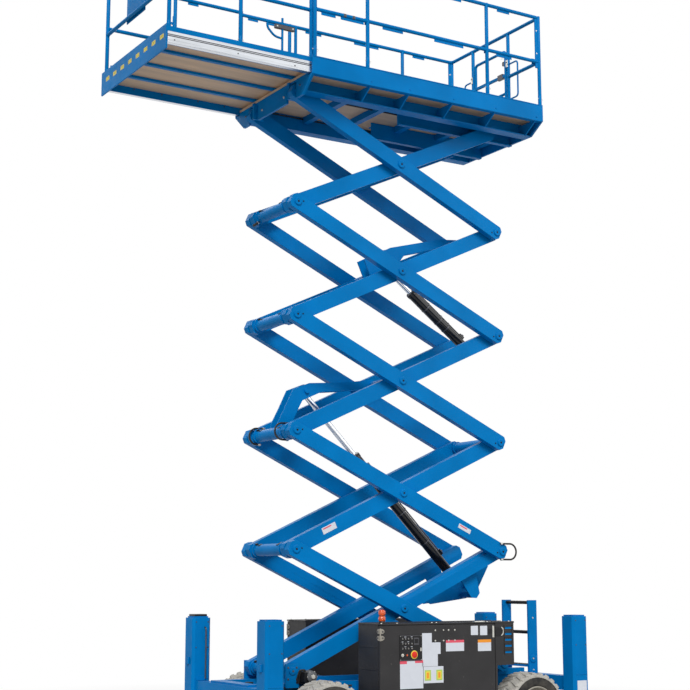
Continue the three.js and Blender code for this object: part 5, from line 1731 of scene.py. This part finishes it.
@dataclass
class ExtensionDeck:
    """The rollout deck: its rails, its floor and the taped front skirt."""

    front_x: float = -2721.0
    tail_x: float = -1154.0
    half: float = 765.0
    tapes: tuple[float, ...] = (-667.0, -487.0, -305.0, -122.0, 60.0, 242.0, 428.0, 606.0)

    def build(self) -> None:
        """Dresses the deck and adds tapes, rail flutes and ironwork."""
        paint_node("extension_frame", BLUE, 2)
        paint_node("extension_floor", DECK, 1.5)
        for side in Side:
            paint_node(f"extension_rail_{side.word}", RAIL_METAL, 2)
            self._rail_flutes(side)
        piece = Piece("front_skirt_tapes", YELLOW, frame=shift(self.front_x, 0, TOP_Z))
        for y in self.tapes:
            for back, front in ((1, 0), (14.2, 15.4)):
                piece.block((back, y - 42, 150), (front, y + 42, 192), 0.4, steps=1)
        piece.ship("extension", "frame_blue")
        self._ironwork()
        lay_tread("extension", FLOOR_Z + 55, (self.front_x + 40, self.tail_x - 10), 150,
                  (-2600, -2100, -1650, -1200), 320, 2.2)

    def _ironwork(self) -> None:
        """Post seats, bolts and floor screws."""
        iron = Piece("extension_ironwork", BLUE, DARK_ZINC, frame=shift(z=TOP_Z))
        for _ in iron.both():
            for x in (-2684, -1960, -1204):
                iron.block((x - 34, 700, 208), (x + 34, 757, 216), 2)
                for dx in (-24, 24):
                    iron.bolt((x + dx, 714, 215), UP, 7, 1)
            for x in (-2400, -2100, -1700, -1400):
                iron.bolt((x, 706, 150), (0, -1, 0), 7, 1)
            iron.block((self.front_x + 14, 690, 100), (self.front_x + 24, 718, 200), 2)
        for y in (-395, 0, 395):
            for x in (-2600, -2200, -1800, -1400):
                iron.stud((x, y, 141.5), (0, 0, -3.5), *SMALL_ROUND)
        iron.ship("extension", "frame_blue")

    def _rail_flutes(self, side: Side) -> None:
        """The raised lands along a rail's outer face, a dark strip painted as the shade in the grooves between them,
        and its screws.

        Args:
            side: the rail's side.
        """
        piece = Piece(f"rail_flutes_{side.word}", RAIL_METAL, DARK_ZINC, side=side.value,
                      frame=shift(0, side.value * self.half, TOP_Z + 92))
        x0, x1 = self.front_x + 15, -326.0
        for z0, z1 in ((1, 58), (66, 72), (80, 107)):
            piece.block((x0, -1.5, z0), (x1, 4, z1), 1.5)
        # painted shade: a blackened strip at the back of the two grooves between the lands, standing in for the shadow
        # in them
        piece.block((x0, -1, 58), (x1, 0.6, 80), 0, 1)
        for x in (-2640, -2000, -1400):
            piece.stud((x, 2, 30), (0, 4, 0), *SMALL_ROUND)
        piece.ship("extension", "rail_aluminium")


@dataclass
class ExtensionRails(RailKit):
    """The extension's guardrail, its control panel and the control box on it."""

    y: float = 732.0
    posts: tuple[float, ...] = (-2684.0, -1960.0, -1204.0)
    front_mid: float = 530.0
    foot: float = 73.6

    def build(self) -> None:
        """Builds the guardrail in place of the plain one and dresses the control box."""
        piece = Piece("extension_rails", BLUE, ZINC, DARK_ZINC, frame=shift(z=FLOOR_Z))
        front, tail, y, low, middle, top = (self.posts[0], self.posts[-1], self.y, self.foot, self.middle, self.top)
        for _ in piece.both():
            self.tube(piece, [(front, y, middle), (tail, y, middle)])
            for x in self.posts:
                self.post(piece, x, y, low, top + 16)
            piece.stud((front + 46, y, low), (0, 0, 150), 9, 9, 14, 2)
            piece.block((front + 18, y - 5, low + 66), (front + 48, y + 5, low + 92), 2)
            piece.pipe([(-1680, y, 395), (-1680, y, 325), (-1600, y, 250), (-1518, y, 243)], 11, 70, 14)
            piece.rod((-1518, y, low), (-1518, y, 445), 11, sides=16)
            piece.pipe([(-1956, y, 385), (-1374, y, 385), (-1374, y, low)], 15, 20, 16)
            piece.block((-1600, y - 17, 333), (-1392, y + 17, 373), 4, 2)
            for x in (-1580, -1412):
                piece.bolt((x, y + 16, 353), ACROSS, 7, 1)
            for x in (-2400, -2200, -1760):
                piece.block((x - 60, y - 3, top - 44), (x + 60, y + 3, top - 14), 1)
        self.tube(piece, [(tail, -y, top), (front, -y, top), (front, y, top), (tail, y, top)], 46)
        self.tube(piece, [(front, -y, self.front_mid), (front, y, self.front_mid)])
        piece.block((front + 19, -140, self.front_mid - 38), (front + 26, 300, top + 38), 3)
        for at in (-120, 280):
            for z in (self.front_mid + 4, top + 24):
                piece.bolt((front + 20, at, z), (-1, 0, 0), 8, 1)
        piece.ship("extension", "frame_blue", ["extension_guardrail"])
        self._control_box()

    def _control_box(self) -> None:
        """The platform control box with its joystick, switches and stop button."""
        paint_node("control_box", COVER, 5)
        a, b = (PLACE.inverted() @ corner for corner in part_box("control_box"))
        slope = Matrix.Rotation(math.atan2(70, b.x - a.x), 4, "Y")
        piece = Piece("control_box_controls", PANEL, RED, YELLOW, ZINC, GRIP, WHITE,
                      frame=shift((a.x + b.x) / 2, (a.y + b.y) / 2, b.z - 35) @ slope)
        piece.block((-58, -128, -2), (58, 128, 2), 2)
        piece.turned([(24, 0), (24, 4), (17, 14), (13, 24), (9, 28)], (8, 70, 1), UP, coat=4)
        piece.turned([(6, 20), (8, 70), (15, 80), (17, 104), (12, 116), (0, 119)], (8, 70, 0), UP, coat=4)
        piece.turned([(0, 0), (22, 0), (22, 8), (34, 11), (34, 18), (28, 23), (0, 24)], (10, -86, 1), UP, coat=1)
        piece.stud((10, -86, 1), (0, 0, 4), 40, 40, 32, 1, 2)
        for row, x in enumerate((-34, 6, 40)):
            for column, y in enumerate((-34, -6, 22)):
                piece.stud((x, y, 1), (0, 0, 5), 8, 8, 16, 1, 3)
                piece.stud((x, y, 5), (5, 0, 16), 3.2, 4.2, 10, 1, 3 if (row + column) % 2 else 4)
        piece.block((-50, 96, 1), (40, 122, 3), 0.5, 5)
        piece.ship("extension", "cover_black")
        guard = Piece("control_box_guard", BLUE, frame=shift(z=b.z + 26))
        back, ridge, front, left, right = a.x - 2, a.x + 40, b.x + 24, a.y - 12, b.y + 12
        guard.pipe([(back, left, -150), (ridge, left, 0), (front, left, -20), (front, right, -20),
                    (ridge, right, 0), (back, right, -150)], 8, 30, 14)
        guard.ship("extension", "frame_blue")


@dataclass(frozen=True)
class Lamp:
    """One soft lamp: a near sheet of light, or a far one that lights the whole height evenly."""

    kind: str
    place: Point
    aim: Point
    size: float
    power: float

    def build(self, name: str) -> None:
        """Hangs the lamp and points it at its aim.

        Args:
            name: the lamp's name.
        """
        data = bpy.data.lights.new(name, self.kind)
        data.energy = self.power
        if self.kind == "SUN":
            data.angle = self.size
        else:
            data.size = self.size
        lamp = bpy.data.objects.new(name, data)
        lamp.location = self.place
        lamp.rotation_euler = (Vector(self.aim) - Vector(self.place)).to_track_quat("-Z", "Y").to_euler()
        bpy.context.scene.collection.objects.link(lamp)


@dataclass
class Studio:
    """The pale floor, the soft lights and the camera."""

    eye: Point = (-7.3195, -11.946, 1.560)
    heading: float = 31.51
    climb: float = 9.577
    lens: float = 74.42
    lift: float = -0.0076
    sensor: float = 36.0
    sight: float = 300.0
    sky_glow: float = 0.34
    floor_reach: float = 60.0
    floor_tone: float = 0.5
    floor_roughness: float = 0.9
    fade: tuple[float, float] = (3.5, 9.0)
    fade_from: float = 0.55
    lamps: tuple[Lamp, ...] = (
        Lamp("SUN", (-6.0, -9.0, 8.5), (0.0, 0.0, 0.0), math.radians(24), 2.35),
        Lamp("AREA", (9.0, -9.0, 8.0), (0.0, 0.0, 4.0), 7.0, 260.0),
        Lamp("AREA", (0.0, 10.0, 11.0), (0.0, 0.0, 4.0), 8.0, 320.0),
    )

    def build(self) -> None:
        """Sets up the view and the light."""
        scene = bpy.context.scene
        scene.view_settings.view_transform = "Standard"
        camera = bpy.data.objects.new("camera", bpy.data.cameras.new("camera"))
        scene.collection.objects.link(camera)
        turn, climb = math.radians(self.heading), math.radians(self.climb)
        look = Vector((math.sin(turn) * math.cos(climb), math.cos(turn) * math.cos(climb), math.sin(climb)))
        camera.location = self.eye
        camera.rotation_euler = look.to_track_quat("-Z", "Y").to_euler()
        camera.data.lens = self.lens
        camera.data.sensor_width = self.sensor
        camera.data.shift_y = self.lift
        camera.data.clip_end = self.sight
        scene.camera = camera
        self._world()
        self._floor()
        for index, lamp in enumerate(self.lamps):
            lamp.build(f"softbox_{index}")
        LOG.info("studio is lit by %d lamps", len(self.lamps))

    def _seen(self, tree: bpy.types.NodeTree) -> bpy.types.NodeSocket:
        """1 where the camera, a mirror or glass looks, and 0 where a surface gathers light.

        Args:
            tree: the node tree to work it out in.

        Returns:
            The 1 or 0.
        """
        path = tree.nodes.new("ShaderNodeLightPath")
        total = path.outputs["Is Camera Ray"]
        for name in ("Is Glossy Ray", "Is Transmission Ray"):
            add = tree.nodes.new("ShaderNodeMath")
            add.operation = "MAXIMUM"
            tree.links.new(total, add.inputs[0])
            tree.links.new(path.outputs[name], add.inputs[1])
            total = add.outputs[0]
        return total

    def _world(self) -> None:
        """White to the eye, and a soft grey to the object."""
        world = bpy.context.scene.world or bpy.data.worlds.new("world")
        bpy.context.scene.world = world
        world.use_nodes = True
        tree = world.node_tree
        background = tree.nodes["Background"]
        background.inputs["Color"].default_value = (1, 1, 1, 1)
        glow = tree.nodes.new("ShaderNodeMapRange")
        glow.inputs[3].default_value = self.sky_glow
        glow.inputs[4].default_value = 1.0
        tree.links.new(self._seen(tree), glow.inputs[0])
        tree.links.new(glow.outputs[0], background.inputs["Strength"])

    def _floor(self) -> None:
        """A pale round floor that fades to white away from the machine."""
        mesh = bmesh.new()
        bmesh.ops.create_circle(mesh, cap_ends=True, segments=96, radius=self.floor_reach)
        data = bpy.data.meshes.new("studio_floor")
        mesh.to_mesh(data)
        mesh.free()
        floor = bpy.data.objects.new("studio_floor", data)
        bpy.context.scene.collection.objects.link(floor)
        wiring = Wiring("studio_floor_white")
        wiring.shader.inputs["Base Color"].default_value = (*[self.floor_tone] * 3, 1)
        wiring.shader.inputs["Roughness"].default_value = self.floor_roughness
        tree = wiring.tree
        length = tree.nodes.new("ShaderNodeVectorMath")
        length.operation = "LENGTH"
        wiring.join(wiring.at, length.inputs[0])
        far = wiring.band(length.outputs["Value"], *self.fade, self.fade_from, 1.0)
        share = wiring.times(far, self._seen(tree))
        white = tree.nodes.new("ShaderNodeEmission")
        mix = tree.nodes.new("ShaderNodeMixShader")
        wiring.join(share, mix.inputs[0])
        wiring.join(wiring.shader.outputs[0], mix.inputs[1])
        wiring.join(white.outputs[0], mix.inputs[2])
        wiring.join(mix.outputs[0], tree.nodes["Material Output"].inputs["Surface"])
        data.materials.append(wiring.material)


def main() -> None:
    """Builds every sub-assembly in order."""
    logging.basicConfig(level=logging.INFO, format="%(message)s")
    Studio().build()
    ArmStack().build()
    for cylinder in (LiftCylinder("lower", 1800, 420, 1620), LiftCylinder("upper", 900, 150, 780)):
        cylinder.build()
    Chassis().build()
    for row, x in (("front", -1020.0), ("rear", 1270.0)):
        for side in Side:
            Wheel(row, side, x).build()
    SideModules().build()
    for row, x in (("front", -1589.0), ("rear", 1867.0)):
        for side in Side:
            Outrigger(row, side, x).build()
    for part in (Ladder(), Platform(), PlatformRails(), EntryGate(), ExtensionDeck(), ExtensionRails()):
        part.build()


if __name__ == "__main__":
    main()
